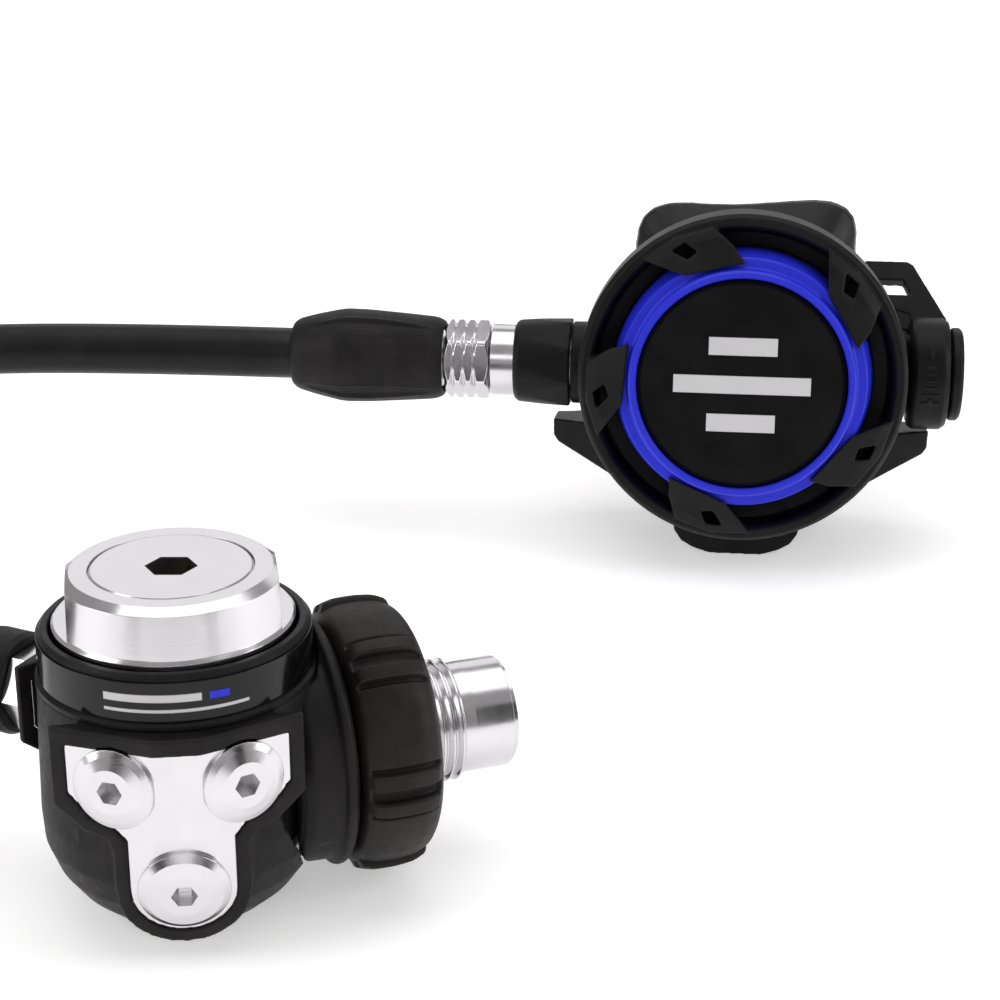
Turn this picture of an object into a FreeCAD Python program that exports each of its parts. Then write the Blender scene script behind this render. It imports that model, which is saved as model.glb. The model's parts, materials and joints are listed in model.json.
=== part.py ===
"""Scuba regulator set: a DIN diaphragm first stage, a low-pressure hose and a second stage.

Millimetres.  The origin is the middle of the first stage's foot, +Z is up, +X is towards the
second stage's knob side and +Y is away from the divers' side of the cover.
"""
import FreeCAD, Part
import math
import os
import Sketcher
from FreeCAD import Placement, Rotation, Vector

doc = FreeCAD.newDocument("regulator_set")
sheet = doc.addObject("Spreadsheet::Sheet", "Dims")

# alias, millimetres or degrees, what it is
DIMENSIONS = [
    ("cap_radius", 20.6, "end cap, radius of its wall"),
    ("cap_top", 64.0, "end cap, height of its top face"),
    ("cap_flats", 36.4, "end cap, across its two wrench flats"),
    ("plug_radius", 14.4, "centre plug of the end cap"),
    ("hex_key", 8.0, "socket of the centre plug, across flats"),
    ("collar_radius", 23.7, "collar around the end cap"),
    ("collar_top", 54.2, "height of the collar's rim"),
    ("core_radius", 22.4, "metal body under the rubber jacket"),
    ("jacket_radius", 24.9, "rubber jacket"),
    ("jacket_top", 44.3, "height of the jacket's rim"),
    ("foot_radius", 8.0, "flat foot of the metal body"),
    ("facet_distance", 26.3, "axis to the face of an LP port"),
    ("panel_front", 27.0, "axis to the middle facet of a port panel"),
    ("lp_height", 34.2, "height of the LP ports"),
    ("hp_height", 14.9, "height of the HP ports"),
    ("lp_head_radius", 7.35, "LP plug head"),
    ("hp_head_radius", 7.95, "HP plug head"),
    ("lp_thread", 4.76, "3/8 inch UNF thread, radius"),
    ("hp_thread", 5.56, "7/16 inch UNF thread, radius"),
    ("din_height", 26.0, "height of the inlet axis"),
    ("din_thread", 11.455, "G5/8 thread, crest radius"),
    ("din_nose", 10.45, "smooth nose of the inlet"),
    ("wheel_radius", 23.9, "handwheel without its ribs"),
    ("wheel_face", 42.6, "body axis to the outer face of the handwheel"),
    ("wheel_width", 15.2, "axial width of the handwheel"),
    ("rib_height", 1.3, "rib over the handwheel"),
    ("hose_radius", 6.35, "low-pressure hose"),
    ("nut_flats", 17.46, "11/16 inch swivel nut, across flats"),
    ("barrel_depth", 26.0, "cover's front plane to the valve axis"),
    ("barrel_rise", -0.4, "valve axis above the middle of the cover"),
    ("ring_radius", 39.0, "cover ring"),
    ("button_radius", 24.4, "purge button"),
    ("valve_radius", 6.2, "valve barrel"),
    ("knob_radius", 13.7, "flow knob"),
]


class Size:
    """A number together with the sheet expression that gives it."""

    def __init__(self, text, value):
        self.text = text
        self.value = value

    def joined(self, sign, other, value):
        other_text = other.text if isinstance(other, Size) else repr(other)
        return Size(f"({self.text} {sign} {other_text})", value)

    def __add__(self, other):
        return self.joined("+", other, self.value + number(other))

    def __sub__(self, other):
        return self.joined("-", other, self.value - number(other))

    def __mul__(self, other):
        return self.joined("*", other, self.value * number(other))

    def __neg__(self):
        return self * -1.0


def number(size):
    return size.value if isinstance(size, Size) else float(size)


SIZES = {}
for row, (alias, value, words) in enumerate(DIMENSIONS, start=1):
    sheet.set(f"A{row}", words)
    sheet.set(f"B{row}", str(value))
    sheet.setAlias(f"B{row}", alias)
    SIZES[alias] = Size(f"Dims.{alias}", value)
doc.recompute()


def dim(alias):
    return SIZES[alias]


# --------------------------------------------------------------------------- frames
DIN_AZIMUTH = 20.0
FRONT_AZIMUTH = -83.0
REAR_AZIMUTH = 130.0
PORT_SPLAY = 24.0
HP_TILT = 10.0
FACE_CENTRE = Vector(114.2, 151.2, 47.6)
YAW = -6.0
LEAN = 10.4

UP = Vector(0, 0, 1)
HOME = Placement()
# The second stage's own frame: x to the knob, y into the case, z up.
SECOND = Placement(FACE_CENTRE, Rotation(UP, YAW) * Rotation(Vector(1, 0, 0), -LEAN))
# z out of the cover's face, x to the knob, y up.
FACE = SECOND * Placement(Vector(), Rotation(Vector(1, 0, 0), 90))
# z along the valve, towards the knob; x down, y into the case.
VALVE = SECOND * Placement(Vector(0, number(dim("barrel_depth")), number(dim("barrel_rise"))),
                           Rotation(Vector(0, 1, 0), 90))
# z out of the exhaust outlet, downwards; x to the knob.
OUTLET_DEPTH = 30.0
OUTLET_IN_FACE = Placement(Vector(0, 0, -OUTLET_DEPTH), Rotation(Vector(1, 0, 0), 90))
OUTLET = FACE * OUTLET_IN_FACE


def radial(azimuth, height, tilt=0.0):
    """A frame on the first stage's axis: z points outwards, x down, y sideways."""
    turn = Rotation(UP, azimuth) * Rotation(Vector(0, 1, 0), 90 + tilt)
    return Placement(Vector(0, 0, number(height)), turn)


DIN = radial(DIN_AZIMUTH, dim("din_height"))

# --------------------------------------------------------------------------- helpers
NODES = {}


def bind(thing, path, size):
    """Sets one property, by the sheet's expression where the size has one."""
    if isinstance(size, Size):
        thing.setExpression(path, size.text)
    else:
        setattr(thing, path, size)


def keep(thing, label, frame=HOME):
    """Makes an object a node: gives it its label and its place."""
    thing.Label = label
    thing.Placement = frame
    NODES[label] = thing
    return thing


def new_body(name):
    return doc.addObject("PartDesign::Body", name + "_body")


def origin_plane(body, role):
    return next(plane for plane in body.Origin.OriginFeatures if plane.Role == role)


def outline(body, role, points):
    """A closed polygon sketch whose corners are tied to the sheet."""
    sketch = body.newObject("Sketcher::SketchObject", body.Name + "_outline")
    sketch.AttachmentSupport = [(origin_plane(body, role), "")]
    sketch.MapMode = "FlatFace"
    corners = [Vector(number(x), number(y), 0) for x, y in points]
    count = len(corners)
    for index in range(count):
        sketch.addGeometry(Part.LineSegment(corners[index], corners[(index + 1) % count]))
    for index in range(count):
        sketch.addConstraint(Sketcher.Constraint("Coincident", index, 2, (index + 1) % count, 1))
    for index, (x, y) in enumerate(points):
        tie_corner(sketch, index, "DistanceX", x)
        tie_corner(sketch, index, "DistanceY", y)
    return sketch


def tie_corner(sketch, index, kind, size):
    place = sketch.addConstraint(Sketcher.Constraint(kind, -1, 1, index, 1, number(size)))
    if isinstance(size, Size):
        sketch.setExpression(f"Constraints[{place}]", size.text)


def turned(name, points):
    """A solid of revolution about the body's Z axis from (radius, height) corners."""
    body = new_body(name)
    sketch = outline(body, "XZ_Plane", points)
    turn = body.newObject("PartDesign::Revolution", name + "_turned")
    turn.Profile = sketch
    turn.ReferenceAxis = (sketch, ["V_Axis"])
    turn.Angle = 360.0
    return body


def raised(name, points, length):
    """A prism standing on the body's XY plane."""
    body = new_body(name)
    pad = body.newObject("PartDesign::Pad", name + "_pad")
    pad.Profile = outline(body, "XY_Plane", points)
    bind(pad, "Length", length)
    return body


def cylinder(name, radius, height, place=HOME):
    solid = doc.addObject("Part::Cylinder", name)
    bind(solid, "Radius", radius)
    bind(solid, "Height", height)
    solid.Placement = place
    return solid


def block(name, length, width, height, place=HOME):
    solid = doc.addObject("Part::Box", name)
    bind(solid, "Length", length)
    bind(solid, "Width", width)
    bind(solid, "Height", height)
    solid.Placement = place
    return solid


def cut(name, base, tool):
    result = doc.addObject("Part::Cut", name)
    result.Base = base
    result.Tool = tool
    return result


def common(name, base, tool):
    result = doc.addObject("Part::Common", name)
    result.Base = base
    result.Tool = tool
    return result


def fuse(name, shapes):
    result = doc.addObject("Part::MultiFuse", name)
    result.Shapes = shapes
    result.Refine = True
    return result


def made(name, shape):
    """A shape that Part's own functions make, as a document object."""
    solid = doc.addObject("Part::Feature", name)
    solid.Shape = shape
    return solid


def at(x=0.0, y=0.0, z=0.0, turn=None):
    return Placement(Vector(x, y, z), turn or Rotation())


def regular(sides, across, phase=0.0):
    """Corners of a regular polygon, given across its flats."""
    scale = 0.5 / math.cos(math.pi / sides)
    corners = []
    for index in range(sides):
        angle = math.radians(phase + 360.0 * index / sides)
        corners.append((across * (scale * math.cos(angle)), across * (scale * math.sin(angle))))
    return corners


def spring(name, radius, wire, low, high, turns):
    """An open coil spring along Z as one swept wire."""
    helix = doc.addObject("Part::Helix", name + "_helix")
    helix.Radius = radius
    helix.Height = high - low - 2 * wire
    helix.Pitch = (high - low - 2 * wire) / turns
    helix.Placement = at(z=low + wire)
    section = doc.addObject("Part::Circle", name + "_wire")
    section.Radius = wire
    section.Placement = at(radius, 0, low + wire, Rotation(Vector(1, 0, 0), 90))
    coil = doc.addObject("Part::Sweep", name)
    coil.Sections = [section]
    coil.Spine = (helix, ["Edge1"])
    coil.Solid = True
    coil.Frenet = True
    return coil


def ring_of(name, radius, wire):
    """An O-ring."""
    ring = doc.addObject("Part::Torus", name)
    ring.Radius1 = radius
    ring.Radius2 = wire
    return ring


# --------------------------------------------------------------------------- first stage
CORE = [(8.0, 0.0), (8.0, 2.0), (15.0, 3.2), (19.6, 7.6), (22.0, 13.5)]
PANEL_BACK = 18.6
PANEL_HALF = 18.8
PANEL_TOP = 41.0
HEAD_ROOM = 0.3
HEAD_DEPTH = 0.4
TAB_HALF = 9.1
BEND = 25.0


def facets(name, grow, low, high, half):
    """Three upright facets of a port panel: x outwards, y sideways."""
    splay = math.radians(PORT_SPLAY)
    middle = 4.0
    front = dim("panel_front") + grow
    side = front - (half - middle) * math.tan(splay)
    corners = [(PANEL_BACK, -half), (side, -half), (front, -middle), (front, middle),
               (side, half), (PANEL_BACK, half)]
    upright = raised(name + "_prism", corners, high - low)
    upright.Placement = at(z=low)
    # The lower tab leans in towards the foot.
    lean = Rotation(Vector(0, 1, 0), HP_TILT)
    below = block(name + "_lean", 20.0, 60.0, 60.0,
                  at(number(front), -30.0, BEND) * Placement(Vector(), lean)
                  * at(0.0, 0.0, -60.0))
    return cut(name + "_facets", upright, below)


def panel_outline(name, grow, top):
    """The T-shaped outline of a port panel, seen from outside, as a prism along X."""
    wide = PANEL_HALF + grow
    tab = TAB_HALF + grow
    arc = [(tab * math.sin(math.radians(a)), 15.0 - tab * math.cos(math.radians(a)))
           for a in range(-90, 91, 15)]
    corners = [(-wide, top), (-wide, 32.0 - grow), (-15.0 - grow * 0.5, 27.8 - grow),
               (-11.5 - grow * 0.4, 26.8 - grow), (-tab, BEND - 0.6 - grow)]
    corners += arc
    corners += [(-x, y) for x, y in reversed(corners[:5])]
    prism = raised(name, corners, 14.0)
    # Sketch x becomes sideways, sketch y becomes up, and the prism runs outwards.
    turn = Rotation(Vector(0, 1, 0), Vector(0, 0, 1), Vector(1, 0, 0), "ZXY")
    prism.Placement = at(PANEL_BACK, 0, 0, turn)
    return prism


PORT_AZIMUTHS = {"front": FRONT_AZIMUTH, "rear": REAR_AZIMUTH}
LP_PORTS = [(FRONT_AZIMUTH - PORT_SPLAY), (FRONT_AZIMUTH + PORT_SPLAY),
            (REAR_AZIMUTH - PORT_SPLAY), (REAR_AZIMUTH + PORT_SPLAY)]
HOSE_PORT = LP_PORTS[3]
LP_BOTTOM = 15.0
HP_BOTTOM = 14.0


def port_block(name, azimuth):
    metal = common(name + "_metal", facets(name, 0.0, 4.0, PANEL_TOP, PANEL_HALF),
                   panel_outline(name + "_outline", 0.0, PANEL_TOP))
    metal.Placement = Placement(Vector(), Rotation(UP, azimuth))
    return metal


def hp_frame(azimuth):
    """The HP port's frame, its origin in the middle of the port's face."""
    drop = BEND - number(dim("hp_height"))
    front = number(dim("panel_front")) - drop * math.tan(math.radians(HP_TILT))
    turn = Rotation(UP, azimuth) * Rotation(Vector(0, 1, 0), 90 + HP_TILT)
    place = Rotation(UP, azimuth).multVec(Vector(front, 0, number(dim("hp_height"))))
    return Placement(place, turn)


def lp_frame(azimuth):
    """The LP port's frame, its origin in the middle of the port's face."""
    return radial(azimuth, dim("lp_height")) * at(z=number(dim("facet_distance")))


def first_stage_core():
    core = turned("core", CORE + [
        (dim("core_radius"), 20.0), (dim("core_radius"), 43.9), (18.1, 43.9), (18.1, 36.2),
        (11.0, 36.2), (11.0, 33.0), (5.1, 33.0), (5.1, 8.0), (0.0, 8.0), (0.0, 0.0)])
    blocks = [port_block(f"{side}_ports", azimuth) for side, azimuth in PORT_AZIMUTHS.items()]
    solid = fuse("core_with_ports", [core] + blocks)
    tools = []
    for index, azimuth in enumerate(LP_PORTS):
        tools.append(cylinder(f"lp_bore_{index}", dim("lp_thread"), LP_BOTTOM,
                              lp_frame(azimuth) * at(z=1.0 - LP_BOTTOM)))
    for index, azimuth in enumerate(PORT_AZIMUTHS.values()):
        tools.append(cylinder(f"hp_bore_{index}", dim("hp_thread"), HP_BOTTOM,
                              hp_frame(azimuth) * at(z=1.0 - HP_BOTTOM)))
        tools.append(cylinder(f"hp_way_{index}", 1.2, 24.0, hp_frame(azimuth) * at(z=-24.0)))
    tools.append(cylinder("din_bore", 9.05, 16.0, DIN * at(z=8.0)))
    tools.append(cylinder("din_way", 2.5, 12.0, DIN))
    keep(cut("first_stage_body", solid, fuse("core_bores", tools)), "first_stage_body")


def end_cap():
    top = dim("cap_top")
    shell = turned("cap_shell", [
        (dim("plug_radius") + 0.06, top), (17.6, top), (19.3, top - 1.2),
        (dim("cap_radius"), top - 8.6), (21.2, top - 9.2), (21.2, 54.0), (18.0, 54.0),
        (18.0, 38.1), (dim("plug_radius") + 0.06, 38.1)])
    flats = []
    for side in (-1, 1):
        low = 0.5 * number(dim("cap_flats"))
        flats.append(block(f"flat_{side}", 12.0, 60.0, 12.0,
                           at(low if side > 0 else -low - 12.0, -30.0, 55.2)))
    keep(cut("end_cap", shell, fuse("cap_flats_cut", flats)), "end_cap",
         Placement(Vector(), Rotation(UP, 9.0)))
    plug = turned("plug_blank", [
        (0.0, top), (13.9, top), (dim("plug_radius"), top - 0.5), (dim("plug_radius"), 57.0),
        (0.0, 57.0)])
    socket = raised("plug_socket", regular(6, dim("hex_key")), 12.0)
    socket.Placement = at(z=55.0)
    keep(cut("cap_plug", plug, socket), "cap_plug")
    screw = turned("screw_blank", [(0.0, 56.2), (11.0, 56.2), (11.0, 51.6), (0.0, 51.6)])
    drive = raised("screw_socket", regular(6, dim("hex_key")), 5.0)
    drive.Placement = at(z=52.6)
    keep(cut("adjusting_screw", screw, drive), "adjusting_screw")


def regulating_parts():
    keep(spring("main_spring", 8.6, 1.5, 40.6, 51.6, 3.0), "main_spring")
    keep(turned("spring_pad", [(0, 38.0), (10.5, 38.0), (10.5, 40.6), (6.6, 40.6), (6.6, 43.0),
                               (5.6, 43.6), (0, 43.6)]), "spring_pad")
    keep(turned("diaphragm_disc", [(0, 36.5), (17.9, 36.5), (17.9, 38.0), (0, 38.0)]),
         "first_stage_diaphragm")
    keep(turned("thrust", [(0, 24.8), (1.0, 24.8), (1.0, 34.6), (6.8, 34.6), (8.2, 35.6),
                           (8.2, 36.5), (0, 36.5)]), "thrust_pin")
    keep(turned("seat_ring", [(2.55, 22.0), (5.05, 22.0), (5.05, 28.0), (1.4, 28.0),
                              (1.4, 23.4)]), "valve_seat")
    keep(turned("hp_poppet", [(0, 14.0), (2.3, 14.0), (2.3, 16.0), (3.8, 16.0), (3.8, 20.4),
                              (1.3, 23.3), (1.0, 24.8), (0, 24.8)]), "high_pressure_valve")
    keep(spring("poppet_spring", 3.2, 0.4, 8.2, 15.9, 5.0), "high_pressure_spring")


def collar_and_jacket():
    keep(turned("collar", [
        (21.7, 44.0), (dim("collar_radius") + 0.9, 44.4), (dim("collar_radius") + 0.9, 45.2),
        (dim("collar_radius"), 45.8), (dim("collar_radius"), dim("collar_top") - 0.7),
        (dim("collar_radius") - 0.7, dim("collar_top")), (22.0, dim("collar_top")),
        (21.7, dim("collar_top") - 0.4)]), "collar")
    keep(turned("band", [
        (dim("collar_radius") + 0.02, 45.9), (dim("collar_radius") + 0.35, 45.9),
        (dim("collar_radius") + 0.35, 53.0), (dim("collar_radius") + 0.02, 53.0)]), "label_band")
    inner = [(radius + 0.05, height) for radius, height in CORE]
    inner[-1] = (22.1, 13.3)
    shell = turned("jacket_shell", [(12.6, 0.0), (16.0, 1.5), (19.9, 5.0), (23.0, 9.4),
                                    (24.9, 14.5), (dim("jacket_radius") + 0.3, 20.0),
                                    (dim("jacket_radius") - 0.1, 34.0),
                                    (dim("jacket_radius") - 0.5, dim("jacket_top")),
                                    (dim("core_radius") + 0.05, dim("jacket_top") - 0.5),
                                    (dim("core_radius") + 0.05, 19.9)] + inner[::-1])
    borders = []
    panels = []
    for side, azimuth in PORT_AZIMUTHS.items():
        border = common(f"{side}_border", facets(f"{side}_rim", 0.5, 3.4, 44.1, 21.6),
                        panel_outline(f"{side}_rim_outline", 2.6, 44.1))
        border.Placement = Placement(Vector(), Rotation(UP, azimuth))
        borders.append(border)
        panel = panel_outline(f"{side}_window", 0.06, PANEL_TOP + 0.06)
        panel_turned = Placement(Vector(), Rotation(UP, azimuth))
        panel.Placement = panel_turned * at(x=-1.5) * panel.Placement
        panels.append(panel)
    skin = fuse("jacket_skin", [shell] + borders)
    hollow = turned("jacket_hollow", [(0, -1.0)] + [(8.05, -1.0)] + inner[1:] + [
        (dim("core_radius") + 0.05, 20.0), (dim("core_radius") + 0.05, 60.0), (0, 60.0)])
    low_room = dim("lp_head_radius") + HEAD_ROOM
    high_room = dim("hp_head_radius") + HEAD_ROOM
    heads = [cylinder(f"lp_head_room_{index}", low_room, 6.0, lp_frame(azimuth) * at(z=-HEAD_DEPTH))
             for index, azimuth in enumerate(LP_PORTS)]
    heads += [cylinder(f"hp_head_room_{index}", high_room, 6.0,
                       hp_frame(azimuth) * at(z=-HEAD_DEPTH))
              for index, azimuth in enumerate(PORT_AZIMUTHS.values())]
    tools = panels + heads + [hollow, cylinder("din_window", 21.7, 30.0, DIN * at(z=5.0))]
    keep(cut("rubber_jacket", skin, fuse("jacket_openings", tools)), "rubber_jacket")


def port_plug(name, head_radius, thread_radius, frame, head_height=2.0):
    """A blanking plug with a conical head and a hex socket."""
    blank = turned(name + "_blank", [
        (0, -8.0), (thread_radius - 0.04, -8.0), (thread_radius - 0.04, 0.02),
        (head_radius, 0.02), (head_radius, 0.7), (head_radius - 1.2, head_height - 0.7),
        (4.2, head_height), (0, head_height)])
    socket = raised(name + "_socket", regular(6, 3.97, 30.0), 6.0)
    socket.Placement = at(z=head_height - 3.6)
    plug = cut(name, blank, socket)
    plug.Placement = frame
    return plug


def port_plugs():
    lows = [port_plug(f"lp_plug_{index}", dim("lp_head_radius"), dim("lp_thread"),
                      lp_frame(azimuth))
            for index, azimuth in enumerate(LP_PORTS) if azimuth != HOSE_PORT]
    keep(fuse("lp_plug_group", lows), "low_pressure_port_plugs")
    highs = [port_plug(f"hp_plug_{index}", dim("hp_head_radius"), dim("hp_thread"),
                       hp_frame(azimuth), 2.3)
             for index, azimuth in enumerate(PORT_AZIMUTHS.values())]
    keep(fuse("hp_plug_group", highs), "high_pressure_port_plugs")


def din_inlet():
    face = dim("wheel_face")
    wide = dim("wheel_width")
    rim = dim("wheel_radius")
    back = face - wide
    # A rubber-covered shoulder between the body and the handwheel.
    ring = turned("shoulder_ring", [
        (9.15, 17.0), (20.4, 17.0), (21.5, 19.0), (21.6, 24.0), (22.9, 24.6), (22.9, back - 1.6),
        (22.0, back - 0.7), (20.4, back - 0.4), (9.15, back - 0.4)])
    ring.Placement = DIN
    around = fuse("shoulder_clearance", [
        cylinder("core_clearance", dim("core_radius") + 0.1, 60.0, at(z=-5.0)),
        cylinder("collar_clearance", dim("collar_radius") + 1.1, 20.0, at(z=43.6))])
    keep(cut("shoulder", ring, around), "shoulder_cover")
    blank = turned("wheel_blank", [
        (10.1, back + 0.1), (20.6, back + 0.1), (22.6, back + 1.0), (rim, back + 3.6),
        (rim, face - 3.4), (22.4, face - 0.9), (20.2, face), (13.2, face), (12.6, face - 1.6),
        (10.1, face - 1.6)])
    ribs = []
    for pair in range(6):
        for side in (-1, 1):
            angle = pair * 60.0 + 8.0 + side * 7.5
            rib = block(f"rib_{pair}_{side}", 6.0, 2.5, wide - 2.6,
                        Placement(Vector(), Rotation(UP, angle))
                        * at(number(rim + dim("rib_height")) - 6.0, -1.25, number(back) + 1.3))
            ribs.append(rib)
    wheel = fuse("wheel_with_ribs", [blank] + ribs)
    keep(wheel, "handwheel", DIN)
    keep(turned("bushing", [
        (7.05, back + 0.1), (10.05, back + 0.1), (10.05, face - 1.5), (10.6, face - 1.5),
        (10.6, face + 0.6)] + threads(face + 0.6, face + 9.6) + [
        (dim("din_nose"), face + 10.0), (dim("din_nose"), face + 17.2),
        (9.6, face + 17.2), (9.6, face + 14.0), (8.6, face + 14.0), (8.6, back + 6.0),
        (7.05, back + 6.0)]), "threaded_bushing", DIN)
    keep(turned("retainer", [
        (2.5, 9.0), (9.0, 9.0), (9.0, back - 0.2), (7.0, back - 0.2), (7.0, back + 6.1),
        (8.5, back + 6.1), (8.5, face + 14.1), (9.5, face + 14.1), (9.5, face + 18.2),
        (7.9, face + 18.2), (7.9, face + 17.4), (6.3, face + 17.4), (6.3, face + 18.7),
        (4.6, face + 18.7), (4.6, back), (2.5, back)]), "inlet_stem", DIN)
    keep(turned("filter_disc", [(0, face + 11.0), (4.55, face + 11.0), (4.55, face + 14.5),
                                (3.0, face + 15.2), (0, face + 15.4)]), "inlet_filter", DIN)
    keep(turned("clip", [(3.6, face + 15.6), (4.58, face + 15.6), (4.58, face + 16.4),
                         (3.6, face + 16.4)]), "filter_clip", DIN)
    keep(ring_of("din_seal_ring", 7.1, 0.75), "inlet_o_ring", DIN * at(z=number(face) + 18.2))


def threads(low, high):
    """Corners of a G5/8 thread drawn as separate ridges."""
    pitch = 1.8143
    count = int((number(high) - number(low)) / pitch)
    corners = []
    for index in range(count):
        start = low + index * pitch
        corners += [(10.35, start + 0.12), (dim("din_thread"), start + 0.75),
                    (dim("din_thread"), start + 1.10), (10.35, start + 1.72)]
    return corners


# --------------------------------------------------------------------------- hose
# The end of the second stage's hose protector, along the valve axis.
EXIT_SECOND = -112.5
# The end of the first stage's hose sleeve, from the body's axis.
EXIT_FIRST = 50.0
# The stretches next to the two ends run straight out of their fittings.
FIRST_RUN = 49.0
LAST_RUN = 40.0
ROUTE = [
    Vector(-93, 196.5, 40.5), Vector(-142, 196, 32.0), Vector(-190, 190, 20.5),
    Vector(-232, 170, 11.0), Vector(-260, 133, 7.0), Vector(-267, 87, 6.8), Vector(-249, 45, 7.0),
    Vector(-211, 20, 10.0), Vector(-164, 22, 19.0), Vector(-120, 36, 28.0),
]


def hose_tube():
    """A tube along straight runs joined by tangent arcs."""
    port = radial(HOSE_PORT, dim("lp_height"))
    start_run = [VALVE.multVec(Vector(0, 0, EXIT_SECOND - run)) for run in (0.0, FIRST_RUN)]
    last_run = [port.multVec(Vector(0, 0, EXIT_FIRST + run)) for run in (LAST_RUN, 0.0)]
    points = start_run + ROUTE + last_run
    edges = []
    start = points[0]
    length = 0.0
    radii = []
    for before, corner, after in zip(points, points[1:], points[2:]):
        into = (corner - before).normalize()
        out = (after - corner).normalize()
        turn = into.getAngle(out)
        reach = 0.45 * min((corner - before).Length, (after - corner).Length)
        radius = reach / math.tan(turn / 2)
        radii.append(round(radius, 1))
        begin = corner - into * reach
        end = corner + out * reach
        inward = (out - into).normalize()
        middle = corner + inward * (radius / math.cos(turn / 2) - radius)
        edges.append(Part.LineSegment(start, begin).toShape())
        edges.append(Part.Arc(begin, middle, end).toShape())
        length += (begin - start).Length + radius * turn
        start = end
    edges.append(Part.LineSegment(start, points[-1]).toShape())
    length += (points[-1] - start).Length
    path = Part.Wire(edges)
    radius = number(dim("hose_radius"))
    section = Part.Wire(Part.Circle(points[0], points[1] - points[0], radius).toShape())
    tube = path.makePipeShell([section], True, True)
    expected = math.pi * radius ** 2 * length
    print("hose radii", radii)
    print("hose length", round(length, 1), "volume ratio", round(tube.Volume / expected, 4))
    keep(made("hose_solid", tube), "low_pressure_hose")


def hose_fittings():
    hose = dim("hose_radius")
    end = EXIT_SECOND
    sleeve = turned("sleeve", [
        (hose + 0.05, end), (8.4, end), (8.8, end + 0.8), (9.0, end + 3.0), (11.3, end + 8.0),
        (11.9, end + 13.0), (11.6, end + 20.0), (10.6, end + 30.0), (9.8, end + 37.4),
        (9.2, end + 38.6), (8.3, end + 38.6), (8.3, end + 7.0), (hose + 0.05, end + 7.0)])
    keep(sleeve, "hose_protector", VALVE)
    keep(turned("ferrule", [
        (3.2, end), (hose, end), (hose, end + 7.05), (8.2, end + 7.2), (8.2, end + 36.0),
        (7.0, end + 38.0), (5.4, end + 38.0), (5.4, end + 43.0), (3.2, end + 43.0)]),
         "hose_end_fitting", VALVE)
    hexagon = raised("nut_hexagon", regular(6, dim("nut_flats"), 30.0), 11.2)
    hexagon.Placement = at(z=end + 39.0)
    grooves = [turned(f"nut_groove_{index}", [(8.2, low), (12.0, low), (12.0, low + 1.1),
                                              (8.2, low + 1.1)])
               for index, low in enumerate([end + 40.6, end + 43.2, end + 45.8])]
    bore = turned("nut_bore", [
        (0, end + 38.0), (5.6, end + 38.0), (5.6, end + 43.2), (7.1, end + 43.2),
        (7.1, end + 51.0), (0, end + 51.0)])
    crown = turned("nut_crown", [(0, end + 39.0), (9.2, end + 39.0), (10.3, end + 40.2),
                                 (10.3, end + 49.2), (9.3, end + 50.2), (0, end + 50.2)])
    nut = cut("nut_bored", common("nut_solid", hexagon, crown), fuse("nut_cuts", grooves + [bore]))
    keep(nut, "swivel_nut", VALVE)
    keep(ring_of("hose_seal", 4.6, 0.6), "hose_o_ring", VALVE * at(z=end + 44.3))
    face = dim("facet_distance")
    port = radial(HOSE_PORT, dim("lp_height"))
    thread = dim("lp_thread") - 0.04
    stem = turned("port_stem", [
        (2.4, face - 8.0), (thread, face - 8.0), (thread, face + 0.02), (7.0, face + 0.02),
        (7.0, face + 1.0), (6.6, face + 1.0), (6.6, face + 7.0), (2.4, face + 7.0)])
    flats = raised("port_hexagon", regular(6, 14.3, 30.0), 6.0)
    flats.Placement = at(z=number(face) + 0.8)
    middle = cylinder("hexagon_bore", 6.0, 9.0, at(z=number(face)))
    hexagon = cut("port_hexagon_bored", flats, middle)
    keep(fuse("port_fitting", [stem, hexagon]), "hose_port_fitting", port)
    keep(turned("port_sleeve", [
        (2.6, face + 7.05), (9.0, face + 7.05), (9.6, face + 8.2), (9.6, face + 14.0),
        (8.2, EXIT_FIRST - 1.0), (7.6, EXIT_FIRST), (2.6, EXIT_FIRST)]), "hose_port_sleeve", port)


# --------------------------------------------------------------------------- second stage
CLAW = [(36.8, 131.0), (28.7, 120.0), (27.6, 110.0), (27.5, 101.0), (28.1, 90.4), (32.1, 95.4),
        (36.8, 102.6), (37.3, 117.0)]
CLAW_HOLE = [(35.0, 120.4), (35.3, 114.1), (32.4, 110.7), (31.6, 115.9)]
CLAWS = 5
PURGE_TURNS = 5.0
PURGE_WIRE = 0.5
# The case's outside as (radius, height) corners, from the flange to the back.
CASE_SKIN = [(36.6, -15.5), (36.6, -17.4), (35.2, -20.0), (33.6, -33.0), (29.0, -39.0)]
# Half width and half height of the mouthpiece's spigot, outside and inside.
SPIGOT = (17.0, 10.5)
AIRWAY = (15.2, 8.7)
MOUTH_RISE = 9.0
# Depth behind the cover, rise, half width, half height and squareness of each section.
MOUTH_OUTSIDE = [(40.4, 9.0, 18.8, 12.3, 1.0), (45.0, 9.0, 18.8, 12.3, 1.0),
                 (50.0, 9.2, 18.8, 12.3, 1.0), (56.0, 11.8, 20.5, 13.2, 0.9),
                 (62.0, 16.2, 25.6, 16.6, 0.7), (66.5, 19.4, 28.6, 18.6, 0.65),
                 (70.0, 19.8, 29.2, 18.4, 0.65)]
MOUTH_INSIDE = [(52.1, 9.0, 17.0, 10.5, 1.0), (58.0, 11.5, 17.5, 10.0, 1.0),
                (64.0, 15.6, 19.0, 8.8, 0.9), (70.5, 19.2, 21.0, 8.0, 0.8)]
# The soft mouthpiece sits a little turned on its spigot.
MOUTH_ROLL = 4.0
# The vane's outside radius and the angle at which the knob's tab leans back.
VANE_RADIUS = 7.6
LEVER_BACK = 35.0


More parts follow.
